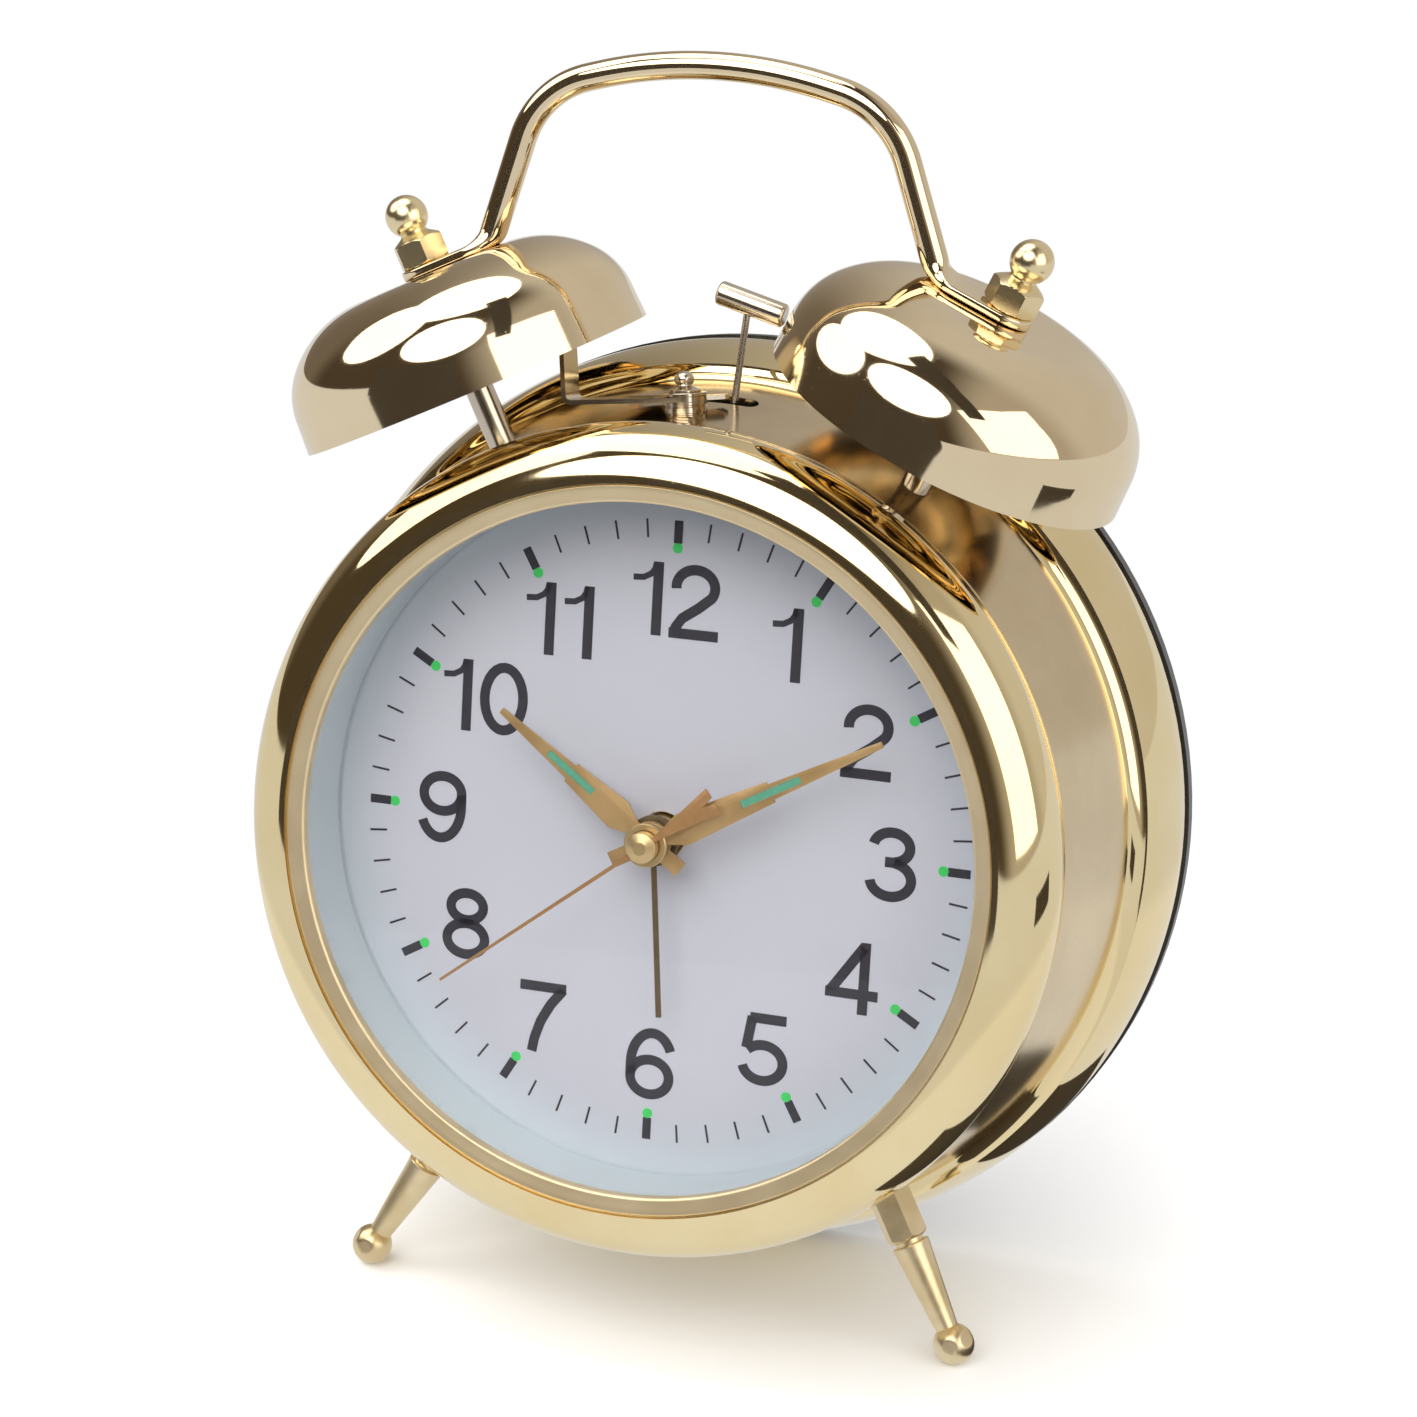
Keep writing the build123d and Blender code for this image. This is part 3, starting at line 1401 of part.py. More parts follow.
hammer_lean = degrees(
    atan2(hammer_wire_top_reach - hammer_pivot_reach, hammer_wire_top_height - hammer_pivot_height)
)
hammer_frame = Plane(
    origin=(hammer_pivot_reach, hammer_depth, hammer_pivot_height),
    x_dir=(cos(radians(hammer_lean)), 0, -sin(radians(hammer_lean))),
    z_dir=(0, -1, 0),
)
wire_length = hypot(hammer_wire_top_reach - hammer_pivot_reach, hammer_wire_top_height - hammer_pivot_height)
with BuildPart() as hammer_arbor:
    add_arbor(hammer_place)
    add_rod(
        hammer_place,
        hammer_depth - hammer_hub_length / 2,
        hammer_depth + hammer_hub_length / 2,
        hammer_hub_radius,
    )
    with BuildSketch(square_to(hammer_frame, hammer_hub_radius / 2)) as wire:
        Circle(hammer_wire_radius)
    extrude(wire.sketch, amount=wire_length - hammer_hub_radius / 2)
    towards = direction(hammer_place, strike_place)
    with BuildSketch(face_at(strike_wheel_depth)) as anchor:
        with Locations(Location((hammer_place[0], hammer_place[1], 0), (0, 0, towards))):
            with Locations((hammer_anchor_reach / 2, 0)):
                Rectangle(hammer_anchor_reach, hammer_anchor_width)
    extrude(anchor.sketch, amount=-wheel_thickness)
pieces["hammer_arbor"] = hammer_arbor

with BuildPart() as hammer_head:
    slope = radians(hammer_head_slope)
    head_plane = Plane(
        origin=(
            hammer_wire_top_reach + hammer_head_shift - cos(slope) * hammer_head_length / 2,
            hammer_depth,
            hammer_wire_top_height + hammer_head_rise + sin(slope) * hammer_head_length / 2,
        ),
        x_dir=(0, 1, 0),
        z_dir=(cos(slope), 0, -sin(slope)),
    )
    with BuildSketch(head_plane) as bar:
        Circle(hammer_head_radius)
    extrude(bar.sketch, amount=hammer_head_length)
    fillet(hammer_head.edges().filter_by(GeomType.CIRCLE), hammer_head_round)
    add(hammer_arbor.part, mode=Mode.SUBTRACT)
pieces["hammer_head"] = hammer_head


# Stop lever on top of the case, its screw and washers
with BuildPart() as stop_lever:
    with BuildSketch(stop_frame) as strip:
        Circle(stop_washer_radius)
        with Locations((-stop_bend_reach / 2, 0)):
            Rectangle(stop_bend_reach, stop_width)
        with Locations(Location((0, 0, 0), (0, 0, stop_arm_angle))):
            with Locations((stop_arm_reach / 2, 0)):
                Rectangle(stop_arm_reach, stop_arm_width)
        Circle(stop_screw_radius + fit_clearance, mode=Mode.SUBTRACT)
    extrude(strip.sketch, amount=stop_thickness)
    with BuildSketch(stop_frame) as tab:
        with Locations((-stop_bend_reach + stop_thickness / 2, 0)):
            Rectangle(stop_thickness, stop_width)
    extrude(tab.sketch, amount=stop_tab_height)
pieces["stop_lever"] = stop_lever

with BuildPart() as stop_screw:
    nut_base = stop_thickness + stop_washer_thickness
    with BuildSketch(stop_frame.offset(-stop_screw_reach)) as stud:
        Circle(stop_screw_radius)
    extrude(stud.sketch, amount=stop_screw_reach + nut_base)
    with BuildSketch(stop_frame.offset(nut_base)) as nut:
        Circle(stop_nut_radius)
    extrude(nut.sketch, amount=stop_nut_height)
    with BuildSketch(Plane(origin=stop_frame.origin, x_dir=stop_frame.x_dir, z_dir=-stop_frame.y_dir)) as dome:
        with BuildLine():
            top = nut_base + stop_nut_height
            side_line = Line((0, top), (stop_nut_radius, top))
            cap = RadiusArc(side_line @ 1, (0, top + stop_dome_height), -stop_dome_radius)
            Line(cap @ 1, side_line @ 0)
        make_face()
    revolve(dome.sketch, axis=Axis(stop_frame.origin, stop_frame.z_dir))
pieces["stop_screw"] = stop_screw

with BuildPart() as stop_washers:
    with BuildSketch(stop_frame.offset(stop_thickness)) as top_washer:
        Circle(stop_washer_radius)
        Circle(stop_screw_radius, mode=Mode.SUBTRACT)
    extrude(top_washer.sketch, amount=stop_washer_thickness)
    with BuildSketch(stop_frame) as spacer:
        Circle(stop_washer_radius)
        Circle(stop_screw_radius, mode=Mode.SUBTRACT)
    extrude(spacer.sketch, amount=-stop_spacer_height)
    split(bisect_by=stop_wall, keep=Keep.TOP)
    add(case_shell.part, mode=Mode.SUBTRACT)
pieces["stop_washers"] = stop_washers

# The lean that puts both balls and the rear rim on the ground
ball_centre = foot_planes["right"].from_local_coords(Vector(0, foot_length, 0))
run = cover_back_depth - cover_dish_drop / 2 - ball_centre.Y
rise = cover_radius + ball_centre.Z
lean = degrees(asin(foot_ball_radius / hypot(run, rise)) - atan2(rise, run))
leaning = Location((0, 0, 0), (-lean, 0, 0))

upright = [piece.part for piece in pieces.values()]
box = Compound(children=[part.moved(leaning) for part in upright]).bounding_box()
ground = Location((-(box.min.X + box.max.X) / 2, -(box.min.Y + box.max.Y) / 2, -box.min.Z))
standing = ground * leaning

for label, piece in pieces.items():
    piece.part = piece.part.moved(standing)
    piece.part.label = label
    export_step(piece.part, f"parts/{label}.step")

print("lean", round(lean, 2), "size", box.size)
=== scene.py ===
import json
from math import atan2, cos, hypot, pi, radians, sin, sqrt

import bmesh
import bpy
from mathutils import Matrix, Vector


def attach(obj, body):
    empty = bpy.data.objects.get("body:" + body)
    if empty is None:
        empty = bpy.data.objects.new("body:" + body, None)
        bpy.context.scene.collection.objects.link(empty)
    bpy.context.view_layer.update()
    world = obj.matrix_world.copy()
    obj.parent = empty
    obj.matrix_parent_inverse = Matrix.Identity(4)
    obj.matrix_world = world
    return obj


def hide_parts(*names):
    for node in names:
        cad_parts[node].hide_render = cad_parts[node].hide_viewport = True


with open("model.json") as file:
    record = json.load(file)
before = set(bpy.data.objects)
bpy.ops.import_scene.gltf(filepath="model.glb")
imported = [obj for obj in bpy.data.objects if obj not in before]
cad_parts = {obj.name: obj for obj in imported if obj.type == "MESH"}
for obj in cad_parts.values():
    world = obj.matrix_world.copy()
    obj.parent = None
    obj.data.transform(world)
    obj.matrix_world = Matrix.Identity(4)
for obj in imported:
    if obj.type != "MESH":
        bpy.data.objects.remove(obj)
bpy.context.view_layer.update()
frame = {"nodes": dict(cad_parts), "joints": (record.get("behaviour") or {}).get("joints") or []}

# Where the clock stands. Every piece is drawn upright in millimetres, with the dial facing -Y and its centre
# at the origin, and is then leaned back on its feet. The hour wheel's joint gives the dial's centre and axis.
mm = 0.001
hour_wheel_depth = 2.9
hour_joint = next(joint for joint in frame["joints"] if joint["name"] == "hour_spin")
dial_axis = Vector(hour_joint["axis"])
dial_centre = Vector(hour_joint["pos_m"]) - dial_axis * hour_wheel_depth * mm
clock = Matrix.Translation(dial_centre) @ Matrix.Rotation(atan2(dial_axis.z, dial_axis.y), 4, "X")

# The camera stands in front of the dial, to its right and a little above, with a long lens. Its place is given
# from the dial's centre, so it leans back with the clock.
bench = bpy.context.scene.collection
camera = bpy.data.objects.new("camera", bpy.data.cameras.new("camera"))
camera.data.lens = 85.192
camera.data.sensor_width = 36.0
camera.matrix_world = clock @ Matrix((
    (0.94808, -0.11073, 0.29814, 131.29 * mm),
    (0.31322, 0.16252, -0.93567, -395.87 * mm),
    (0.05515, 0.98047, 0.18876, 96.89 * mm),
    (0, 0, 0, 1),
))
bench.objects.link(camera)
bpy.context.scene.camera = camera
bpy.context.scene.view_settings.view_transform = "Standard"


# The studio: a pale floor that keeps the clock's shadow, pale surroundings for matt surfaces, and four wide
# soft lamps. Between the lamps, polished metal shows a dim brown room and four dark cards; the one on the floor
# is a painted shadow.
class Wire:
    """An output of a node. Sums and products of wires and numbers add Math nodes to the same tree."""

    def __init__(self, tree, socket=None):
        self.tree = tree
        self.socket = socket

    def node(self, kind, settings=None, inputs=None, output=0):
        """A node with its settings and with values or wires on its inputs; gives one of its outputs."""
        made = self.tree.nodes.new(kind)
        for name, value in (settings or {}).items():
            setattr(made, name, value)
        for name, value in (inputs or {}).items():
            if isinstance(value, Wire):
                self.tree.links.new(value.socket, made.inputs[name])
            else:
                made.inputs[name].default_value = value
        return Wire(self.tree, made.outputs[output])

    def beside(self, output):
        """Another output of the same node."""
        return Wire(self.tree, self.socket.node.outputs[output])

    def maths(self, operation, other, swapped=False):
        first, second = (other, self) if swapped else (self, other)
        return self.node("ShaderNodeMath", {"operation": operation}, {0: first, 1: second})

    def __add__(self, other):
        return self.maths("ADD", other)

    def __sub__(self, other):
        return self.maths("SUBTRACT", other)

    def __rsub__(self, other):
        return self.maths("SUBTRACT", other, swapped=True)

    def __mul__(self, other):
        return self.maths("MULTIPLY", other)

    __radd__ = __add__
    __rmul__ = __mul__

    def between(self, low, high):
        """0 below low, 1 above high, and a smooth step from one to the other."""
        step = {"interpolation_type": "SMOOTHSTEP"}
        return self.node("ShaderNodeMapRange", step, {"Value": self, "From Min": low, "From Max": high})

    def mixed(self, low, high):
        """The colour low where this wire is 0 and high where it is 1."""
        ends = [(*end, 1.0) if isinstance(end, tuple) else end for end in (low, high)]
        return self.node("ShaderNodeMix", {"data_type": "RGBA"}, {"Factor": self, 6: ends[0], 7: ends[1]}, 2)


def new_finish(name):
    """A material, a wire to start its nodes from, and its shader node."""
    finish = bpy.data.materials.new(name)
    finish.use_nodes = True
    return finish, Wire(finish.node_tree), finish.node_tree.nodes["Principled BSDF"]


def feed(shader, **sockets):
    """Sets the shader's sockets to numbers and colours, or links wires to them."""
    for name, value in sockets.items():
        target = shader.inputs[name.replace("_", " ")]
        if isinstance(value, Wire):
            value.tree.links.new(value.socket, target)
        else:
            target.default_value = value


def in_place(wire):
    """The place on a piece, in metres, which moves with it."""
    return wire.node("ShaderNodeTexCoord", output=3)


def clouds(wire, scale, detail=2.0, rough=0.5):
    """Soft noise on a piece, finer for a higher scale."""
    inputs = {"Vector": in_place(wire), "Scale": scale, "Detail": detail, "Roughness": rough}
    return wire.node("ShaderNodeTexNoise", inputs=inputs)


def blended(wire, shader, factor, other):
    """Shows the shader where the factor is 0 and another one where it is 1."""
    blend = wire.node("ShaderNodeMixShader", inputs={0: factor, 1: Wire(wire.tree, shader.outputs[0]), 2: other})
    wire.tree.links.new(blend.socket, wire.tree.nodes["Material Output"].inputs["Surface"])


def set_up(name, corners, finish, place=Matrix.Identity(4)):
    """Flat thing of the studio, which isn't part of the clock."""
    mesh = bpy.data.meshes.new(name)
    mesh.from_pydata(corners, [], [tuple(range(len(corners)))])
    mesh.materials.append(finish)
    thing = bpy.data.objects.new(name, mesh)
    thing.matrix_world = place
    bench.objects.link(thing)
    return thing


floor_reach, floor_sides = 2.6, 96
shadow_reach, shadow_end = 0.05, 0.20
pale_floor, wire, shader = new_finish("pale_floor")
spread = clouds(wire, 900.0) * 0.02 + 0.47
feed(shader, Base_Color=spread.mixed((0.92, 0.92, 0.92), (0.95, 0.95, 0.95)), Roughness=0.9)
from_clock = wire.node("ShaderNodeVectorMath", {"operation": "LENGTH"}, {0: in_place(wire)}, output=1)
camera_ray = wire.node("ShaderNodeLightPath")
mirrored = camera_ray.beside("Is Glossy Ray")
seen = camera_ray + mirrored + camera_ray.beside("Is Transmission Ray")
away = from_clock.between(shadow_reach, shadow_end).maths("MAXIMUM", mirrored * 0.85) * seen.between(0.0, 1.0)
strength = 1.0 - mirrored * 0.28
blended(wire, shader, away, wire.node(
    "ShaderNodeEmission", inputs={"Color": (1.0, 1.0, 1.0, 1.0), "Strength": strength}
))
floor_angles = [2 * pi * side / floor_sides for side in range(floor_sides)]
set_up("floor", [(floor_reach * cos(a), floor_reach * sin(a), 0) for a in floor_angles], pale_floor)

world = bpy.data.worlds.new("studio")
bpy.context.scene.world = world
world.use_nodes = True
wire = Wire(world.node_tree)
sideways = wire.node("ShaderNodeSeparateXYZ", inputs={0: wire.node("ShaderNodeTexCoord", output=0)})
backwards = sideways.beside("Y")
backdrop = sideways.between(-0.85, 0.2).mixed((0.17, 0.14, 0.11), (0.60, 0.57, 0.53))
front = sideways.between(0.20, 0.62).mixed((0.07, 0.053, 0.035), (0.46, 0.42, 0.37))
room = backwards.between(0.0, 0.4).mixed(front, backdrop)
camera_ray = wire.node("ShaderNodeLightPath")
lit = camera_ray.beside("Is Diffuse Ray").mixed(room, (0.80, 0.80, 0.80))
air = world.node_tree.nodes["Background"]
feed(air, Color=camera_ray.mixed(lit, (1.0, 1.0, 1.0)), Strength=1.0)


def turned_to(place, facing):
    """Place in the studio, in metres from the dial's centre, whose back is turned in a direction."""
    return Matrix.Translation(place + dial_centre) @ facing.to_track_quat("Z", "Y").to_matrix().to_4x4()


def soft_lamp(name, direction, distance, width, height, radiance, shape="ELLIPSE"):
    """Wide lamp that faces the clock from a direction of the clock's surroundings."""
    lamp = bpy.data.lights.new(name, "AREA")
    lamp.shape = shape
    lamp.size, lamp.size_y = width, height
    lamp.energy = radiance * pi * width * height
    lamp.color = (1.0, 0.985, 0.96)
    fixture = bpy.data.objects.new(name, lamp)
    direction = Vector(direction).normalized()
    fixture.matrix_world = turned_to(direction * distance, direction)
    fixture.visible_camera = False
    bench.objects.link(fixture)


soft_lamp("left_lamp", (-0.74, -0.12, 0.66), 0.95, 0.75, 0.72, 1.5)
soft_lamp("right_lamp", (0.84, -0.42, 0.40), 0.95, 0.86, 0.76, 1.5, "RECTANGLE")
soft_lamp("top_lamp", (-0.24, 0.06, 0.96), 1.00, 0.74, 0.90, 1.6)
soft_lamp("front_lamp", (-0.12, -0.88, 0.90), 1.08, 1.06, 0.90, 2.0)

black_card, wire, shader = new_finish("black_card")
feed(shader, Base_Color=clouds(wire, 40.0).mixed((0.030, 0.022, 0.014), (0.045, 0.034, 0.024)), Roughness=0.9)
above_floor = 0.001 - dial_centre.z
for name, place, width, height, facing in (
    ("right_card", (0.150, -0.003, -0.022), 0.055, 0.014, None),
    ("top_card", (0.27, -0.26, 0.66), 0.15, 0.70, None),
    ("front_card", (-0.18, -0.56, 0.085), 0.62, 0.33, None),
    # Painted shadow: a dark sheet on the floor beside the clock, seen only in reflections, where the clock's
    # shade falls.
    ("floor_shadow_card", (0.056, 0.020, above_floor), 0.024, 0.082, (0, 0, 1)),
):
    corners = [(x * width / 2, y * height / 2, 0) for x, y in ((-1, -1), (1, -1), (1, 1), (-1, 1))]
    card = set_up(name, corners, black_card, turned_to(Vector(place), Vector(facing or place)))
    card.visible_camera = card.visible_shadow = card.visible_diffuse = False

# Case drum: one spun shell of polished gold-plated brass, a cone behind the dial that runs through a hollow
# fillet into the round rear rim. A slot on top lets the hammer's wire out.
case_wall = 0.8
waist_front, waist_back = (51.8, 0.6), (56.4, 17.8)
fillet_end = (58.7, 19.6)
bulge_middle, bulge_end = (60.5, 24.1), (61.4, 28.6)
case_back = 32.4
flange_radius = 47.2
slot_left, slot_right, slot_depth, slot_width = -6.6, 5.7, 12.0, 2.6
slot_low, slot_high = 48.0, 60.0


def bend_to(outline, heading, end, count=14):
    """Adds the arc that leaves the last point in a heading and ends at a point; gives its heading there."""
    start = Vector(outline[-1])
    chord = Vector(end) - start
    along = Vector(heading).normalized()
    across = Vector((-along.y, along.x))
    turn = 2 * atan2(across.dot(chord), along.dot(chord))
    if abs(turn) < 1e-5:
        outline.append(tuple(end))
        return along
    centre = start + across * (chord.length_squared / (2 * across.dot(chord)))
    spoke = start - centre
    for step in range(1, count + 1):
        angle = turn * step / count
        outline.append((
            centre.x + spoke.x * cos(angle) - spoke.y * sin(angle),
            centre.y + spoke.x * sin(angle) + spoke.y * cos(angle),
        ))
    return Vector((along.x * cos(turn) - along.y * sin(turn), along.x * sin(turn) + along.y * cos(turn)))


def bend_through(outline, middle, end, count=14):
    """Adds the arc from the outline's last point through a middle point to an end."""
    (ax, ay), (bx, by), (cx, cy) = outline[-1], middle, end
    d = 2 * (ax * (by - cy) + bx * (cy - ay) + cx * (ay - by))
    a2, b2, c2 = ax * ax + ay * ay, bx * bx + by * by, cx * cx + cy * cy
    ux = (a2 * (by - cy) + b2 * (cy - ay) + c2 * (ay - by)) / d
    uy = (a2 * (cx - bx) + b2 * (ax - cx) + c2 * (bx - ax)) / d
    side = 1 if (bx - ax) * (cy - ay) - (by - ay) * (cx - ax) > 0 else -1
    return bend_to(outline, ((uy - ay) * side, (ax - ux) * side), end, count)


def run_to(outline, end, count=1):
    """Adds a straight run to an outline, in steps."""
    start = Vector(outline[-1])
    for step in range(1, count + 1):
        outline.append(tuple(start.lerp(Vector(end), step / count)))


def skinned(bm, rows):
    """Faces between rows of points that each go round. A row of one repeated point is a pole."""
    for lower, upper in zip(rows, rows[1:]):
        for side in range(len(lower)):
            after = (side + 1) % len(lower)
            corners = list(dict.fromkeys((lower[side], lower[after], upper[after], upper[side])))
            if len(corners) > 2:
                bm.faces.new(corners)


def spun(outline, steps=240):
    """Closed outline of radius and height, turned round the Y axis."""
    bm = bmesh.new()
    angles = [2 * pi * step / steps for step in range(steps)]
    rings = []
    for radius, height in outline:
        if radius < 1e-4:
            rings.append([bm.verts.new((0, height * mm, 0))] * steps)
        else:
            places = [(radius * sin(a) * mm, height * mm, radius * cos(a) * mm) for a in angles]
            rings.append([bm.verts.new(place) for place in places])
    skinned(bm, rings + rings[:1])
    return bm


def blank(points, thickness, low=0.0):
    """Flat outline in millimetres, given a thickness upwards."""
    bm = bmesh.new()
    face = bm.faces.new([bm.verts.new((x * mm, y * mm, low * mm)) for x, y in points])
    lifted = bmesh.ops.extrude_face_region(bm, geom=[face])["geom"]
    top = [item for item in lifted if isinstance(item, bmesh.types.BMVert)]
    bmesh.ops.translate(bm, verts=top, vec=(0, 0, thickness * mm))
    return bm


def as_changed(thing):
    """Mesh of an object with its modifiers applied."""
    bm = bmesh.new()
    bm.from_mesh(bpy.data.meshes.new_from_object(thing.evaluated_get(bpy.context.evaluated_depsgraph_get())))
    return bm


def cut_out(bm, cutter):
    """Takes a solid mesh out of another one."""
    pair = []
    for label, source in (("stock", bm), ("cutter", cutter)):
        bmesh.ops.recalc_face_normals(source, faces=source.faces)
        mesh = bpy.data.meshes.new(label)
        source.to_mesh(mesh)
        source.free()
        pair.append(bpy.data.objects.new(label, mesh))
        bench.objects.link(pair[-1])
    stock, tool = pair
    cut = stock.modifiers.new("cut", "BOOLEAN")
    cut.object, cut.operation, cut.solver = tool, "DIFFERENCE", "EXACT"
    left = as_changed(stock)
    for leftover in pair:
        bpy.data.objects.remove(leftover)
    return left


def finished(name, bm, finish, place=clock, body="case", replaces=(), sharp=32):
    """Closes and smooths a mesh, puts it in its place and hands it to its body."""
    bmesh.ops.remove_doubles(bm, verts=bm.verts, dist=1e-7)
    bmesh.ops.dissolve_degenerate(bm, edges=bm.edges, dist=1e-7)
    bmesh.ops.recalc_face_normals(bm, faces=bm.faces)
    bm.transform(place)
    for face in bm.faces:
        face.smooth = True
    for edge in bm.edges:
        edge.smooth = len(edge.link_faces) == 2 and edge.calc_face_angle(pi) < radians(sharp)
    mesh = bpy.data.meshes.new(name)
    bm.to_mesh(mesh)
    bm.free()
    mesh.materials.append(finish)
    piece = bpy.data.objects.new(name, mesh)
    bench.objects.link(piece)
    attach(piece, body)
    if replaces:
        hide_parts(*replaces)
    return piece


def refinished(piece, finish, chosen):
    """Gives another finish to the faces that are chosen by their radius and depth, in metres."""
    piece.data.materials.append(finish)
    for face in piece.data.polygons:
        spot = clock.inverted() @ face.center
        if chosen(hypot(spot.x, spot.z), spot.y):
            face.material_index = 1


def ripple(wire, height, strength, distance):
    """Normal of a surface that is rough by a height."""
    return wire.node("ShaderNodeBump", inputs={"Strength": strength, "Distance": distance, "Height": height})


def polished(name, pale, deep, roughness=0.045, swell=0.05, specks=0.5):
    """Mirror-polished plating. Wiping haze changes its gloss, a low swell bends what it mirrors, and a few
    specks of dust lie on it."""
    finish, wire, shader = new_finish(name)
    haze = clouds(wire, 45.0, 5.0, 0.6)
    dust = wire.node("ShaderNodeTexVoronoi", inputs={"Vector": in_place(wire), "Scale": 900.0})
    speck = (1.0 - dust.between(0.04, 0.13)) * haze.between(0.52, 0.66)
    feed(
        shader,
        Base_Color=(speck * 0.35 * specks).mixed(haze.between(0.3, 0.7).mixed(deep, pale), (0.30, 0.22, 0.12)),
        Metallic=1.0,
        Roughness=haze.between(0.35, 0.75) * 0.035 + roughness + speck * 0.3 * specks,
        Normal=ripple(wire, clouds(wire, 28.0, 1.0) + speck * 0.02, swell, 0.0012),
    )
    return finish


polished_gold = polished("polished_gold", (0.93, 0.79, 0.49), (0.88, 0.72, 0.41))
drum = [(flange_radius, waist_front[1]), waist_front]
run_to(drum, waist_back, 6)
bend_to(drum, (waist_back[0] - waist_front[0], waist_back[1] - waist_front[1]), fillet_end)
bend_through(drum, bulge_middle, bulge_end)
run_to(drum, (bulge_end[0], case_back), 2)
run_to(drum, (bulge_end[0] - case_wall, case_back))
run_to(drum, (bulge_end[0] - case_wall, bulge_end[1]))
inner_middle = (bulge_middle[0] - case_wall, bulge_middle[1])
bend_through(drum, inner_middle, (fillet_end[0] - case_wall, fillet_end[1] + 0.4), 8)
run_to(drum, (waist_back[0] - case_wall, waist_back[1]))
run_to(drum, (waist_front[0] - case_wall, waist_front[1] + case_wall))
run_to(drum, (flange_radius, waist_front[1] + case_wall))
slot_middle = (slot_left + slot_right) / 2
slot_reach = (slot_right - slot_left - slot_width) / 2
slot_points = []
for step in range(24):
    angle = 2 * pi * (step + 0.5) / 24
    end = slot_reach if cos(angle) > 0 else -slot_reach
    x = slot_middle + end + slot_width / 2 * cos(angle)
    slot_points.append((x, slot_depth + slot_width / 2 * sin(angle)))
slotted = cut_out(spun(drum, 288), blank(slot_points, slot_high - slot_low, slot_low))
case_drum = finished("case_drum", slotted, polished_gold, replaces=("case_shell",))

# The case's waist: the polisher left it duller than the bezel and the bulge on both sides of it, so this part
# of the drum is a satin gold.
satin_waist = polished("satin_waist", (0.77, 0.64, 0.43), (0.68, 0.55, 0.36), roughness=0.15, specks=0.8)
refinished(case_drum, satin_waist, lambda radius, depth: waist_front[1] * mm < depth < waist_back[1] * mm)

# Bezel: the wide convex ring in front, spun from the same plated brass and pressed over the case's front edge.
# The groove inside it takes the lip ring.
groove_radius, bezel_radius = 46.4, 53.3
bezel_front, bezel_widest = -14.1, -5.6
bezel_crown, inner_crown = (51.45, -11.7), (48.0, -12.9)
bezel_seat = 51.0
bezel = [(groove_radius, bezel_front)]
bend_through(bezel, bezel_crown, (bezel_radius, bezel_widest), 30)
bend_to(bezel, (0, 1), waist_front, 12)
run_to(bezel, (bezel_seat, waist_front[1]))
under_crown = (bezel_crown[0] - case_wall, bezel_crown[1] + case_wall)
bend_through(bezel, (bezel_radius - case_wall, bezel_widest), under_crown, 10)
bend_through(bezel, inner_crown, (groove_radius, bezel_front + case_wall), 8)
finished("bezel_ring", spun(bezel, 288), polished_gold, replaces=("front_bezel",))

# Lip ring: a narrow ring of satin gold that holds the glass. Its face is a shallow cone with a rolled inner
# edge. Its wall behind the glass is painted a pale blue grey, which is painted reflection of the dial that it
# mirrors, made light against the shade there.
opening_radius, opening_front = 44.0, -13.3
glass_front = -11.9
lip_edge, wall_radius = 46.14, 45.6
satin_gold, wire, shader = new_finish("satin_gold")
haze = clouds(wire, 160.0, 4.0)
feed(
    shader,
    Base_Color=haze.between(0.3, 0.7).mixed((0.86, 0.70, 0.44), (0.90, 0.75, 0.49)),
    Metallic=1.0,
    Roughness=haze * 0.08 + 0.38,
    Normal=ripple(wire, haze, 0.02, 0.00003),
)
lip = [(opening_radius, glass_front), (opening_radius, opening_front + 0.35)]
bend_to(lip, (0, -1), (opening_radius + 0.4, opening_front - 0.08), 8)
run_to(lip, (46.0, -13.72), 3)
bend_to(lip, (1, -0.2), (lip_edge, -13.5), 6)
run_to(lip, (lip_edge, opening_front))
run_to(lip, (groove_radius, opening_front))
run_to(lip, (groove_radius, 0.0), 3)
run_to(lip, (wall_radius, 0.0))
run_to(lip, (wall_radius, glass_front), 3)
lip_ring = finished("glass_lip", spun(lip, 288), satin_gold, replaces=("lip_ring",))
# Painted reflection: the wall's pale blue grey stands in for the pale dial mirrored in the wall, and is lightened
# against the shade in the gap.
painted_dial_reflection, wire, shader = new_finish("painted_dial_reflection")
cloud = clouds(wire, 60.0)
feed(shader, Base_Color=cloud.mixed((0.60, 0.67, 0.725), (0.64, 0.71, 0.76)), Roughness=cloud * 0.1 + 0.42)
behind_glass, inside_wall = (glass_front - 0.05) * mm, (wall_radius + 0.05) * mm
refinished(lip_ring, painted_dial_reflection, lambda radius, depth: depth > behind_glass and radius < inside_wall)

# Glass: a clear moulded cap, a flat disc whose skirt stands on the dial inside the lip ring. It is a little
# smaller than the ring's wall, and light falls through it on the dial.
pane_radius, skirt_radius, pane_back = 45.55, 44.6, -10.9
clear_glass, wire, shader = new_finish("clear_glass")
clear_tint = (0.985, 0.992, 0.992, 1.0)
wiped = clouds(wire, 60.0, 4.0).between(0.4, 0.8)
feed(shader, Base_Color=clear_tint, Roughness=wiped * 0.02, Transmission_Weight=1.0, IOR=1.22)
through = wire.node("ShaderNodeBsdfTransparent", inputs={"Color": clear_tint})
blended(wire, shader, wire.node("ShaderNodeLightPath").beside("Is Shadow Ray"), through)
pane = [(0, glass_front), (pane_radius - 0.1, glass_front), (pane_radius, glass_front + 0.1), (pane_radius, 0.0)]
pane += [(skirt_radius, 0.0), (skirt_radius, pane_back), (0, pane_back)]
finished("glass_cap", spun(pane, 288), clear_glass, replaces=("glass",))
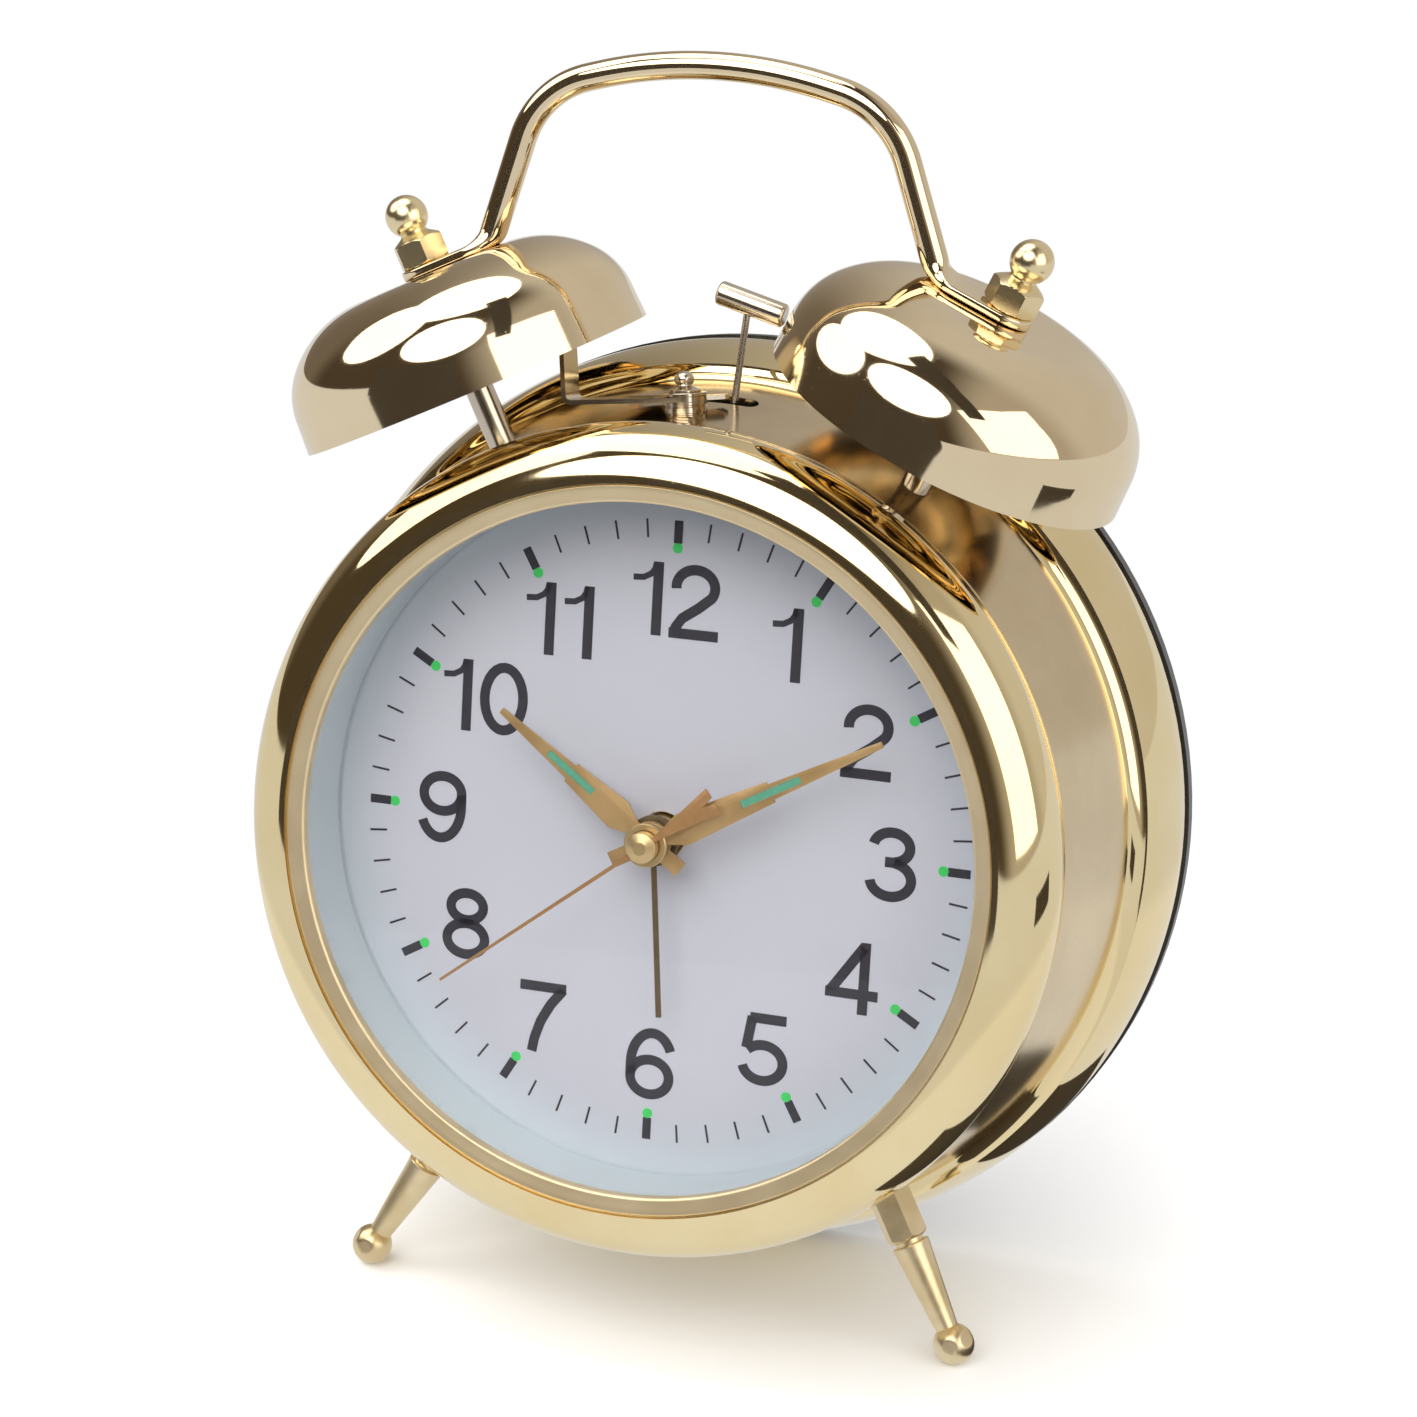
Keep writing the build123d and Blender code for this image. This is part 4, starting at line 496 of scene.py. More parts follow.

# Dial: a metal disc painted matt lavender grey. Towards its edge it is painted lighter and bluer: painted light
# that lifts the shade under the lip ring and paints the bluish reflection of the glass's skirt. The hour bars,
# minute ticks, green dots and plain numbers are printed on it.
dial_paint, wire, shader = new_finish("dial_paint")
tooth = clouds(wire, 2600.0)
lavender = clouds(wire, 18.0).between(0.3, 0.7).mixed((0.550, 0.553, 0.632), (0.578, 0.577, 0.650))
from_middle = wire.node(
    "ShaderNodeVectorMath", {"operation": "DISTANCE"}, {0: in_place(wire), 1: tuple(dial_centre)}, output=1
)
feed(
    shader,
    # Painted light: the lighter, bluer ring near the edge lifts the shade there and paints the glass skirt's
    # bluish reflection.
    Base_Color=from_middle.between(0.036, 0.046).mixed(lavender, (0.59, 0.645, 0.71)),
    Roughness=tooth * 0.12 + 0.50,
    Normal=ripple(wire, tooth, 0.05, 0.00005),
)


def give(node, finish):
    """Puts a finish on a CAD node."""
    piece = frame["nodes"][node]
    if not piece.material_slots:
        piece.data.materials.append(None)
    for slot in piece.material_slots:
        slot.material = finish


def ink(name, colour, gloss=0.5):
    """Printing ink, a little uneven."""
    finish, wire, shader = new_finish(name)
    cover = clouds(wire, 1400.0)
    pale = tuple(channel * 1.25 + 0.004 for channel in colour)
    feed(shader, Base_Color=cover.mixed(colour, pale), Roughness=cover * 0.15 + gloss)
    return finish


def marks_tree(name, dot):
    """Geometry nodes that stamp one flat mark at every place round a ring, or at all but each fifth."""
    tree = bpy.data.node_groups.new(name, "GeometryNodeTree")
    sizes = {"Count": "Int", "Every Place": "Bool", "Distance": "Float", "Width": "Float", "Length": "Float"}
    sizes.update({"Thickness": "Float", "Finish": "Material"})
    for label, kind in sizes.items():
        tree.interface.new_socket(label, in_out="INPUT", socket_type=f"NodeSocket{kind}")
    tree.interface.new_socket("Geometry", in_out="OUTPUT", socket_type="NodeSocketGeometry")
    wire = Wire(tree)
    given = wire.node("NodeGroupInput")
    size = {label: given.beside(label) for label in sizes}
    ring = wire.node("GeometryNodeMeshCircle", inputs={"Vertices": size["Count"], "Radius": size["Distance"]})
    place = wire.node("GeometryNodeInputPosition")
    turn = wire.node("FunctionNodeAlignRotationToVector", {"axis": "Y"}, {"Vector": place})
    between_hours = wire.node("GeometryNodeInputIndex").maths("MODULO", 5.0)
    kept = wire.node("FunctionNodeBooleanMath", {"operation": "OR"}, {0: between_hours, 1: size["Every Place"]})
    if dot:
        round_sizes = {"Vertices": 20, "Radius": size["Width"], "Depth": size["Thickness"]}
        mark = wire.node("GeometryNodeMeshCylinder", inputs=round_sizes)
    else:
        sides = {"X": size["Width"], "Y": size["Length"], "Z": size["Thickness"]}
        mark = wire.node("GeometryNodeMeshCube", inputs={"Size": wire.node("ShaderNodeCombineXYZ", inputs=sides)})
    stamps = {"Points": ring, "Selection": kept, "Instance": mark, "Rotation": turn}
    stamped = wire.node("GeometryNodeInstanceOnPoints", inputs=stamps)
    real = wire.node("GeometryNodeRealizeInstances", inputs={"Geometry": stamped})
    inked = wire.node("GeometryNodeSetMaterial", inputs={"Geometry": real, "Material": size["Finish"]})
    tree.links.new(inked.socket, tree.nodes.new("NodeGroupOutput").inputs[0])
    return tree


def grown(name, tree, values):
    """Mesh that a geometry tree makes from named values."""
    seed = bpy.data.objects.new(name, bpy.data.meshes.new(name))
    bench.objects.link(seed)
    maker = seed.modifiers.new("maker", "NODES")
    maker.node_group = tree
    for item in tree.interface.items_tree:
        if item.item_type == "SOCKET" and item.in_out == "INPUT" and item.name in values:
            maker[item.identifier] = values[item.name]
    bm = as_changed(seed)
    bpy.data.objects.remove(seed)
    return bm


give("dial", dial_paint)
dark_ink = ink("dark_ink", (0.022, 0.020, 0.030))
green_ink = ink("green_ink", (0.045, 0.56, 0.115))
dial_reach, ink_height = 37.0, 0.03
stand_up = Matrix.Rotation(radians(90), 4, "X")
upright = clock @ Matrix.Translation((0, -ink_height * mm / 2, 0)) @ stand_up
bar_tree = marks_tree("bars_round_the_dial", False)
dot_tree = marks_tree("dots_round_the_dial", True)
for name, tree, count, every, distance, width, length, finish in (
    ("hour_bars", bar_tree, 12, True, 1.055 * dial_reach, 1.15, 2.9, dark_ink),
    ("minute_ticks", bar_tree, 60, False, 1.065 * dial_reach, 0.28, 2.4, dark_ink),
    ("hour_dots", dot_tree, 12, True, 1.0 * dial_reach, 0.68, 0.0, green_ink),
):
    stamped = grown(name, tree, {
        "Count": count, "Every Place": every, "Distance": distance * mm, "Width": width * mm,
        "Length": length * mm, "Thickness": ink_height * mm, "Finish": finish,
    })
    finished(name, stamped, finish, place=upright)

# Dial numbers: upright and plain, printed in the same dark ink. Each is drawn with strokes of an even width in
# a box one unit high, which is then widened.
number_height, number_reach = 9.4, 0.82 * dial_reach
stroke, flag_stroke, set_width = 0.142, 0.085, 1.36
ten_shift = 1.1


def oval(x, y, wide, high, start, end, count=28):
    """Points of an oval between two angles, counted anticlockwise from the right."""
    angles = [radians(start + (end - start) * step / count) for step in range(count + 1)]
    return [(x + wide * cos(a), y + high * sin(a)) for a in angles]


def add_stroke(bm, path, width, scale, shift):
    """Flat bar of even width along a path, with square ends."""
    points = [Vector(point) for point in path]
    closed = (points[0] - points[-1]).length < 1e-6
    rows = []
    for index, point in enumerate(points):
        before = points[max(index - 1, 0)]
        after = points[min(index + 1, len(points) - 1)]
        if closed and index in (0, len(points) - 1):
            before, after = points[-2], points[1]
        along = (after - before).normalized()
        across = Vector((-along.y, along.x)) * width / 2
        corners = []
        for side, lift in ((1, 0), (-1, 0), (-1, 1), (1, 1)):
            spot = (point + across * side) * scale + shift
            corners.append(bm.verts.new((spot.x * mm, spot.y * mm, (lift - 0.5) * ink_height * mm)))
        rows.append(corners)
    skinned(bm, rows)
    if not closed:
        bm.faces.new(rows[0])
        bm.faces.new(rows[-1])


six_strokes = [
    oval(0.27, 0.31, 0.207, 0.247, 0, 360),
    oval(0.285, 0.50, 0.222, 0.437, 28, 180, 20) + [(0.063, 0.40), (0.065, 0.31)],
]
one_flag = [(0.04, 0.765), (0.15, 0.775), (0.225, 0.83), (0.262, 0.90), (0.275, 0.985)]
two_neck = [(0.30, 0.42), (0.14, 0.27), (0.075, 0.14), (0.068, 0.06)]
seven_leg = [(0.49, 0.93), (0.36, 0.70), (0.26, 0.45), (0.20, 0.20), (0.175, 0.0)]
figures = {
    "0": (0.54, [oval(0.27, 0.5, 0.207, 0.437, 0, 360)]),
    "1": (0.42, [[(0.30, 0.0), (0.30, 1.0)], one_flag]),
    "2": (0.54, [oval(0.265, 0.70, 0.20, 0.237, 188, -32) + two_neck, [(0.005, 0.0625), (0.52, 0.0625)]]),
    "3": (0.54, [
        oval(0.26, 0.735, 0.185, 0.202, 172, -78), oval(0.265, 0.295, 0.21, 0.232, 82, -172),
        [(0.20, 0.53), (0.30, 0.53)],
    ]),
    "4": (0.57, [[(0.40, 0.0), (0.40, 1.0)], [(0.01, 0.275), (0.55, 0.275)], [(0.385, 0.94), (0.06, 0.29)]]),
    "5": (0.54, [
        [(0.11, 0.9375), (0.49, 0.9375)], [(0.135, 0.95), (0.085, 0.50)],
        oval(0.262, 0.315, 0.213, 0.252, 140, -166),
    ]),
    "6": (0.54, six_strokes),
    "7": (0.54, [[(0.02, 0.9375), (0.52, 0.9375)], seven_leg]),
    "8": (0.54, [oval(0.27, 0.745, 0.178, 0.192, 0, 360), oval(0.27, 0.285, 0.207, 0.222, 0, 360)]),
    "9": (0.54, [[(0.54 - x, 1.0 - y) for x, y in path] for path in six_strokes]),
}
numbers = bmesh.new()
for hour in range(1, 13):
    label = str(hour)
    gap = -0.02 if label == "11" else 0.01
    total = sum(figures[digit][0] * set_width for digit in label) + gap * (len(label) - 1)
    angle = 2 * pi * hour / 12
    start = Vector((number_reach * sin(angle), number_reach * cos(angle)))
    start -= Vector((total, 1.0)) * number_height / 2
    if hour == 10:
        start.x += ten_shift
    for digit in label:
        wide, paths = figures[digit]
        for path in paths:
            width = flag_stroke if path is one_flag else stroke
            add_stroke(numbers, [(x * set_width, y) for x, y in path], width, number_height, start)
        start += Vector(((wide * set_width + gap) * number_height, 0.0))
finished("dial_numbers", numbers, dark_ink, place=upright)

# Bell posts: nickel-plated steel bars that stand on the waist, tilted outwards and a little forwards. Each
# bell, handle tab and ball nut sits on a post's thread.
mount_depth, mount_radius = 9.3, 54.127
crown_lean, post_reach, post_tilt = 6.5, 27.7, 24.9
post_radius, thread_radius, post_low, shoulder_low = 1.85, 1.4, -3.2, -0.5
bell_wall, tab_height, nut_top = 0.8, 24.2, 29.0


def leaned(reach, side, lean):
    """Plane of two posts or feet that stand on the waist at a reach from the middle, above or below."""
    height = side * sqrt(mount_radius**2 - reach**2)
    place = clock @ Matrix.Translation((0, mount_depth * mm, height * mm))
    return place @ Matrix.Rotation(radians(90 + side * lean), 4, "X")


def turned(plane, across, tilt):
    """Plane at a place of another one, with its Y direction tilted towards +X."""
    return plane @ Matrix.Translation((across * mm, 0, 0)) @ Matrix.Rotation(radians(-tilt), 4, "Z")


crown = leaned(post_reach, 1, crown_lean)
posts = {"left": turned(crown, -post_reach, -post_tilt), "right": turned(crown, post_reach, post_tilt)}
polished_nickel = polished("polished_nickel", (0.72, 0.64, 0.53), (0.60, 0.52, 0.42), roughness=0.16, swell=0.03)
bell_seat = tab_height - bell_wall
stem = [(0, post_low), (thread_radius, post_low), (thread_radius, shoulder_low), (post_radius, shoulder_low)]
stem += [(post_radius, bell_seat), (thread_radius, bell_seat), (thread_radius, nut_top), (0, nut_top)]
for name, plane in posts.items():
    post = f"{name}_bell_post"
    finished(f"{post}_bar", spun(stem, 64), polished_nickel, place=plane, replaces=(post,))

# Bells: two spun domes of pale gold plate with a straight skirt and a flat crown, held down by the ball nuts.
# Their edges are plain, and the wall is as thick as a coin.
bell_rim, skirt_height, skirt_taper = 8.7, 4.5, 0.25
bell_bore, flat_radius = 1.5, 10.0
champagne = polished("champagne_gold", (0.90, 0.76, 0.53), (0.84, 0.69, 0.46), roughness=0.04, swell=0.06)


def bell_side(radius, shoulder, top, counts):
    """Outline of one side of a bell's wall, from its rim to the flat of its crown."""
    side = [(radius, bell_rim)]
    run_to(side, (radius - skirt_taper, bell_rim + skirt_height), 3)
    heading = bend_to(side, (-skirt_taper, skirt_height), shoulder, counts[0])
    bend_to(side, heading, (flat_radius, top), counts[1])
    return side


dome = bell_side(23.7, (20.8, bell_rim + 10.75), tab_height, (20, 24))
run_to(dome, (bell_bore, tab_height), 4)
run_to(dome, (bell_bore, bell_seat))
dome += reversed(bell_side(22.9, (20.2, bell_rim + 10.15), bell_seat, (16, 18)))
for name, plane in posts.items():
    bell = f"{name}_bell"
    finished(f"{bell}_dome", spun(dome), champagne, place=plane, replaces=(bell,))

# Handle: a round plated bar, bent over the bells. Each end is flattened to a tab with a round tip, which goes
# over the post's thread. It is drawn in the crown's plane, and its section changes from tab to bar.
bar_radius, tab_thickness, tab_half_width, tab_inner_end = 1.75, 1.4, 3.5, -6.4
shoulder, crest = (23.05, 46.4), (0.0, 52.4)
shoulder_bend, crest_bend = 12.5, 60.0
tab_square, bar_square = 5.0, 2.0
bar_sides, blend_steps = 40, 12
tilt = radians(post_tilt)


def on_crown(across, height):
    """Place on the crown's plane of a point of the right post's plane."""
    turned_across = across * cos(tilt) + height * sin(tilt)
    return Vector((post_reach + turned_across, -across * sin(tilt) + height * cos(tilt)))


def rounded(points, radii, count):
    """Path through straight runs whose corners are rounded."""
    path = [Vector(points[0])]
    for before, corner, after, radius in zip(points, points[1:], points[2:], radii):
        corner = Vector(corner)
        to_start = (Vector(before) - corner).normalized()
        to_end = (Vector(after) - corner).normalized()
        half_angle = to_start.angle(to_end) / 2
        setback = radius / (sin(half_angle) / cos(half_angle))
        arc = [tuple(corner + to_start * setback)]
        bend_to(arc, -to_start, tuple(corner + to_end * setback), count)
        path += [Vector(point) for point in arc]
    return path


tab_middle = tab_height + tab_thickness / 2
stations = []
for across in (3.499, 3.45, 3.3, 3.0, 2.5, 1.8, 0.8, 0.0, -1.6, -3.2, -4.8, tab_inner_end):
    half = tab_half_width * sqrt(1 - (max(across, 0.0) / tab_half_width) ** 2)
    stations.append((on_crown(across, tab_middle), half, tab_thickness / 2, tab_square))
tab_end, leg_foot = on_crown(tab_inner_end, tab_middle), on_crown(-11.0, tab_middle + 1.63)
tab_heading = on_crown(tab_inner_end - 1.0, tab_middle) - tab_end
leg_heading = (Vector(shoulder) - leg_foot).normalized()
tab_pull, leg_pull = tab_end + tab_heading.normalized() * 2.2, leg_foot - leg_heading * 2.0
for step in range(1, blend_steps + 1):
    t = step / blend_steps
    u = 1 - t
    ease = t * t * (3 - 2 * t)
    stations.append((
        tab_end * u**3 + tab_pull * 3 * t * u**2 + leg_pull * 3 * t * t * u + leg_foot * t**3,
        tab_half_width + (bar_radius - tab_half_width) * ease,
        tab_thickness / 2 + (bar_radius - tab_thickness / 2) * ease,
        tab_square + (bar_square - tab_square) * min(1.0, 1.6 * t),
    ))
far_side = [(-shoulder[0], shoulder[1]), (-leg_foot.x, leg_foot.y)]
bends = (shoulder_bend, crest_bend, shoulder_bend)
whole = rounded([tuple(leg_foot), shoulder, crest] + far_side, bends, 24)
half_path = [point for point in whole if point.x > 0.01] + [Vector((crest[0], max(p.y for p in whole)))]
stations += [(point, bar_radius, bar_radius, bar_square) for point in half_path[1:]]
for point, wide, thick, square in stations[-2::-1]:
    stations.append((Vector((-point.x, point.y)), wide, thick, square))
handle = bmesh.new()
rings = []
for index, (point, wide, thick, square) in enumerate(stations):
    along = stations[min(index + 1, len(stations) - 1)][0] - stations[max(index - 1, 0)][0]
    across = Vector((-along.y, along.x)).normalized()
    ring = []
    for side in range(bar_sides):
        c, s = cos(2 * pi * side / bar_sides), sin(2 * pi * side / bar_sides)
        forward = wide * (abs(c) ** (2 / square)) * (1 if c > 0 else -1)
        lift = thick * (abs(s) ** (2 / square)) * (1 if s > 0 else -1)
        spot = point + across * lift
        ring.append(handle.verts.new((spot.x * mm, spot.y * mm, forward * mm)))
    rings.append(ring)
skinned(handle, rings)
handle.faces.new(rings[0])
handle.faces.new(rings[-1])
finished("carrying_handle", handle, champagne, place=crown, replaces=("handle",))

# Ball nuts: hexagonal nuts with a chamfered shoulder, a neck and a ball, turned from one bar and brass-plated.
# They hold the handle's tabs and the bells on the posts.
nut_flats, nut_corner, nut_seat, nut_bore = 6.1, 3.53, 25.6, 1.45
nut_neck, nut_ball, nut_ball_middle = 1.75, 2.75, 32.05


def hex_spun(outline, across_flats, steps=96):
    """Spun outline that is cut to a hexagonal bar wherever it would stand outside it."""
    bm = spun(outline, steps)
    for vert in bm.verts:
        radius = hypot(vert.co.x, vert.co.z)
        if radius > 1e-6:
            angle = (atan2(vert.co.x, vert.co.z) + pi / 6) % (pi / 3) - pi / 6
            limit = across_flats / 2 * mm / cos(angle)
            if radius > limit:
                vert.co.x *= limit / radius
                vert.co.z *= limit / radius
    return bm


def ball_on(outline, neck, radius, middle, count=28):
    """Adds a ball on a neck to an outline, up to its top."""
    start = atan2(neck, -sqrt(radius**2 - neck**2))
    for step in range(count):
        angle = start * (1 - step / count)
        outline.append((radius * sin(angle), middle + radius * cos(angle)))
    outline.append((0, middle + radius))


def joined(*meshes):
    """Several meshes made one."""
    whole = bmesh.new()
    for bm in meshes:
        held = bpy.data.meshes.new("held")
        bm.to_mesh(held)
        bm.free()
        whole.from_mesh(held)
        bpy.data.meshes.remove(held)
    return whole


pale_brass = polished("pale_brass", (0.93, 0.79, 0.50), (0.86, 0.71, 0.43), roughness=0.20)
nut = [(nut_bore, nut_seat), (3.0, nut_seat)]
run_to(nut, (nut_corner, nut_seat + 0.30), 5)
run_to(nut, (nut_corner, nut_top - 0.45))
run_to(nut, (2.85, nut_top), 8)
run_to(nut, (1.95, nut_top + 0.55), 3)
run_to(nut, (nut_neck, nut_top + 0.75), 2)
ball_on(nut, nut_neck, nut_ball, nut_ball_middle)
nut += [(0, nut_top - 0.2), (nut_bore, nut_top - 0.2)]
nuts = [hex_spun(nut, nut_flats) for plane in posts]
for bm, plane in zip(nuts, posts.values()):
    bm.transform(plane)
finished(
    "ball_nuts_turned", joined(*nuts), pale_brass,
    place=Matrix.Identity(4), replaces=("ball_nuts",), sharp=24,
)

# Feet: turned brass with a hexagonal collar against the case, a neck, a long taper and a ball to stand on. The
# turned brass has a fine tooth and a few stains.
foot_reach, foot_tilt, foot_lean = 30.0, 30.0, 6.5
collar_flats, collar_radius, collar_end = 5.0, 2.9, 7.4
neck_radius, taper_start, foot_neck, taper_end = 1.9, 8.0, 1.5, 20.0
foot_ball, foot_ball_middle = 2.7, 22.0
turned_brass, wire, shader = new_finish("turned_brass")
streak = clouds(wire, 420.0, 4.0, 0.7)
worn = clouds(wire, 130.0, 3.0).between(0.35, 0.7)
feed(
    shader,
    Base_Color=worn.mixed((0.78, 0.62, 0.36), (0.93, 0.79, 0.52)),
    Metallic=1.0,
    Roughness=streak * 0.18 + 0.24,
    Normal=ripple(wire, streak, 0.25, 0.0001),
)
foot = [(0, -0.9), (collar_radius, -0.9)]
run_to(foot, (collar_radius, collar_end - 0.5))
run_to(foot, (2.35, collar_end), 6)
run_to(foot, (neck_radius, collar_end))
run_to(foot, (neck_radius, taper_start))
run_to(foot, (2.35, taper_start))
bend_to(foot, (1, 0.2), (2.5, taper_start + 0.25), 4)
run_to(foot, (foot_neck, taper_end), 10)
ball_on(foot, foot_neck, foot_ball, foot_ball_middle)
footing = leaned(foot_reach, -1, foot_lean)
for name, side in (("left_foot", -1), ("right_foot", 1)):
    finished(
        f"{name}_turned", hex_spun(foot, collar_flats), turned_brass,
        place=turned(footing, side * foot_reach, side * (180 - foot_tilt)),
        replaces=(name,), sharp=24,
    )

# Hammer: a nickel-plated cylinder riveted on a steel wire, which swings between the bells. The wire's arbor
# runs in the movement, inside the case.
head_place, head_slope = (4.1, 12.0, 67.2), radians(15.5)
head_radius, head_half_length, head_edge = 1.55, 4.65, 0.45
head_axis = Vector((cos(head_slope), 0, -sin(head_slope)))
along_head = head_axis.to_track_quat("Y", "Z").to_matrix().to_4x4()
head_frame = clock @ Matrix.Translation(Vector(head_place) * mm) @ along_head
head = [(0, -head_half_length), (head_radius - head_edge, -head_half_length)]
bend_to(head, (1, 0), (head_radius, head_edge - head_half_length), 8)
run_to(head, (head_radius, head_half_length - head_edge), 4)
bend_to(head, (0, 1), (head_radius - head_edge, head_half_length), 8)
run_to(head, (0, head_half_length))
finished(
    "hammer_cylinder", spun(head, 64), polished_nickel,
    place=head_frame, body="hammer", replaces=("hammer_head",),
)


def rough_metal(name, pale, deep, roughness, brush=500.0):
    """Unpolished metal with a fine brushed grain and a few darker stains."""
    finish, wire, shader = new_finish(name)
    stretched = wire.node("ShaderNodeMapping", inputs={"Vector": in_place(wire), "Scale": (1.0, 1.0, 9.0)})
    grain = wire.node("ShaderNodeTexNoise", inputs={"Vector": stretched, "Scale": brush, "Detail": 3.0})
    feed(
        shader,
        Base_Color=clouds(wire, 90.0, 3.0).between(0.35, 0.7).mixed(deep, pale),
        Metallic=1.0,
        Roughness=grain * 0.14 + roughness,
        Normal=ripple(wire, grain, 0.05, 0.00003),
    )
    return finish


def dressed(node, body, finish, sharp=32, bevel=0.0):
    """A smooth copy of a CAD node, with its edges broken where a bevel is given."""
    bm = bmesh.new()
    bm.from_mesh(frame["nodes"][node].data)
    bmesh.ops.remove_doubles(bm, verts=bm.verts, dist=1e-6)
    if bevel:
        bmesh.ops.dissolve_limit(bm, angle_limit=radians(1.0), verts=bm.verts, edges=bm.edges)
        edges = [e for e in bm.edges if len(e.link_faces) == 2 and e.calc_face_angle(0) > radians(sharp)]
        bmesh.ops.bevel(
            bm, geom=edges, offset=bevel * mm, segments=2, profile=0.5, affect="EDGES", clamp_overlap=True
        )
    return finished(
        f"{node}_finish", bm, finish,
        place=Matrix.Identity(4), body=body, replaces=(node,), sharp=sharp,
    )


plain_steel = rough_metal("plain_steel", (0.56, 0.52, 0.48), (0.44, 0.40, 0.36), 0.20)
dressed("hammer_arbor", "hammer", plain_steel)

# Stop lever: a strip of nickel-plated steel on a screw behind the twelve, its end bent up for a finger. Pushed
# aside, its short arm holds the hammer's wire.
stop_place, stop_slope = (-2.6, 7.4, 54.717), 6.0
strip_half, strip_reach, strip_thickness, tab_top, strip_bend = 2.5, 15.8, 0.6, 7.6, 1.3
boss_radius, strip_corner, arm_turn = 2.8, 1.0, radians(28.0)
stop_frame = clock @ Matrix.Translation(Vector(stop_place) * mm) @ Matrix.Rotation(radians(-stop_slope), 4, "Y")
flat_run = strip_reach - strip_bend
bend_run = strip_bend * pi / 2
strip_end = flat_run + bend_run + tab_top - strip_bend
plan = []
for step in range(13):
    angle = radians(-90 + 180 * step / 12)
    plan.append((boss_radius * cos(angle), boss_radius * sin(angle)))
quarter = [radians(90 * step / 6) for step in range(7)]
corner_x, corner_y = strip_corner - strip_end, strip_half - strip_corner
plan += [(corner_x - strip_corner * sin(a), corner_y + strip_corner * cos(a)) for a in quarter]
plan += [(corner_x - strip_corner * cos(a), -corner_y - strip_corner * sin(a)) for a in quarter]
strip = blank(plan, strip_thickness)
for step in range(15):
    line = -(flat_run + bend_run * step / 14)
    everything = strip.verts[:] + strip.edges[:] + strip.faces[:]
    bmesh.ops.bisect_plane(strip, geom=everything, dist=1e-8, plane_co=(line * mm, 0, 0), plane_no=(1, 0, 0))
for vert in strip.verts:
    beyond = -vert.co.x / mm - flat_run
    if beyond > 0:
        angle = min(beyond / strip_bend, pi / 2)
        bend_radius = strip_bend - vert.co.z / mm
        vert.co.x = -(flat_run + bend_radius * sin(angle)) * mm
        vert.co.z = (strip_bend - bend_radius * cos(angle) + max(0.0, beyond - bend_run)) * mm
arm = blank([
    (x * cos(arm_turn) - y * sin(arm_turn), x * sin(arm_turn) + y * cos(arm_turn))
    for x, y in ((0, -0.9), (5.0, -0.9), (5.6, -0.4), (5.6, 0.4), (5.0, 0.9), (0, 0.9))
], strip_thickness)
finished(
    "stop_strip", joined(strip, arm), polished_nickel,
    place=stop_frame, body="stop", replaces=("stop_lever",),
)

# Stop screw: it ends in a dome nut on a washer. Three more washers under the strip keep it off the case. All
# are nickel-plated steel.
washer_bore, washer_radius, washer_edge = 1.25, 2.8, 0.1
along_screw = stop_frame @ stand_up
cap = [(0, 1.1), (2.05, 1.1), (2.15, 1.2), (2.15, 1.36), (2.0, 1.46)]
bend_to(cap, (-1, 0.35), (1.05, 1.95), 6)
for step in range(24):
    angle = radians(129) * (1 - step / 24)
    cap.append((1.3 * sin(angle), 2.75 + 1.05 * cos(angle)))
cap.append((0, 3.8))
groove = washer_radius - 0.15
spacers = [(washer_bore, -1.9), (washer_radius - washer_edge, -1.9), (washer_radius, -1.85)]
spacers += [(washer_radius, -1.75), (groove, -1.65), (groove, -1.5), (washer_radius, -1.4)]
spacers += [(washer_radius, -0.75), (groove, -0.65), (groove, -0.5), (washer_radius, -0.4)]
spacers += [(washer_radius, -0.1), (washer_radius - washer_edge, 0.0), (washer_bore, 0.0)]
washer = [(washer_bore, 0.6), (washer_radius - washer_edge, 0.6), (washer_radius, 0.6 + washer_edge)]
washer += [(washer_radius, 1.1 - washer_edge), (washer_radius - washer_edge, 1.1), (washer_bore, 1.1)]
for name, outline, steps, replaced, sharp in (
    ("stop_dome_nut", cap, 64, ("stop_screw",), 32),
    ("stop_spacers", spacers, 72, ("stop_washers",), 24),
    ("stop_washer", washer, 72, (), 24),
):
    finished(
        name, spun(outline, steps), polished_nickel,
        place=along_screw, replaces=replaced, sharp=sharp,
    )


# Hands: stamped brass with a matt brown-gold lacquer, an orange brown one on the seconds hand and dark bronze
# on the alarm hand. They are pressed on their arbors one above the other.
def lacquered(name, deep, pale, scale, roughness):
    """Thin coloured lacquer on brass."""
    finish, wire, shader = new_finish(name)
    grain = clouds(wire, scale)
    feed(shader, Base_Color=grain.mixed(deep, pale), Metallic=0.5, Roughness=grain * 0.1 + roughness)
    return finish


hand_lacquer, wire, shader = new_finish("hand_lacquer")
grain = clouds(wire, 1500.0, 3.0)
feed(
    shader,
    Base_Color=clouds(wire, 160.0).between(0.3, 0.7).mixed((0.40, 0.25, 0.105), (0.52, 0.34, 0.155)),
    Metallic=0.55,
    Roughness=grain * 0.12 + 0.36,
    Normal=ripple(wire, grain, 0.1, 0.00003),
)
orange_lacquer = lacquered("orange_brown_lacquer", (0.36, 0.19, 0.075), (0.45, 0.25, 0.11), 1200.0, 0.34)
bronze_lacquer = lacquered("dark_bronze", (0.11, 0.075, 0.035), (0.17, 0.12, 0.06), 900.0, 0.4)
dressed("hour_hand", "hour", hand_lacquer, bevel=0.06)
dressed("minute_hand", "centre", hand_lacquer, bevel=0.06)
dressed("seconds_hand", "seconds", orange_lacquer, bevel=0.05)
dressed("alarm_hand", "alarm", bronze_lacquer, bevel=0.05)

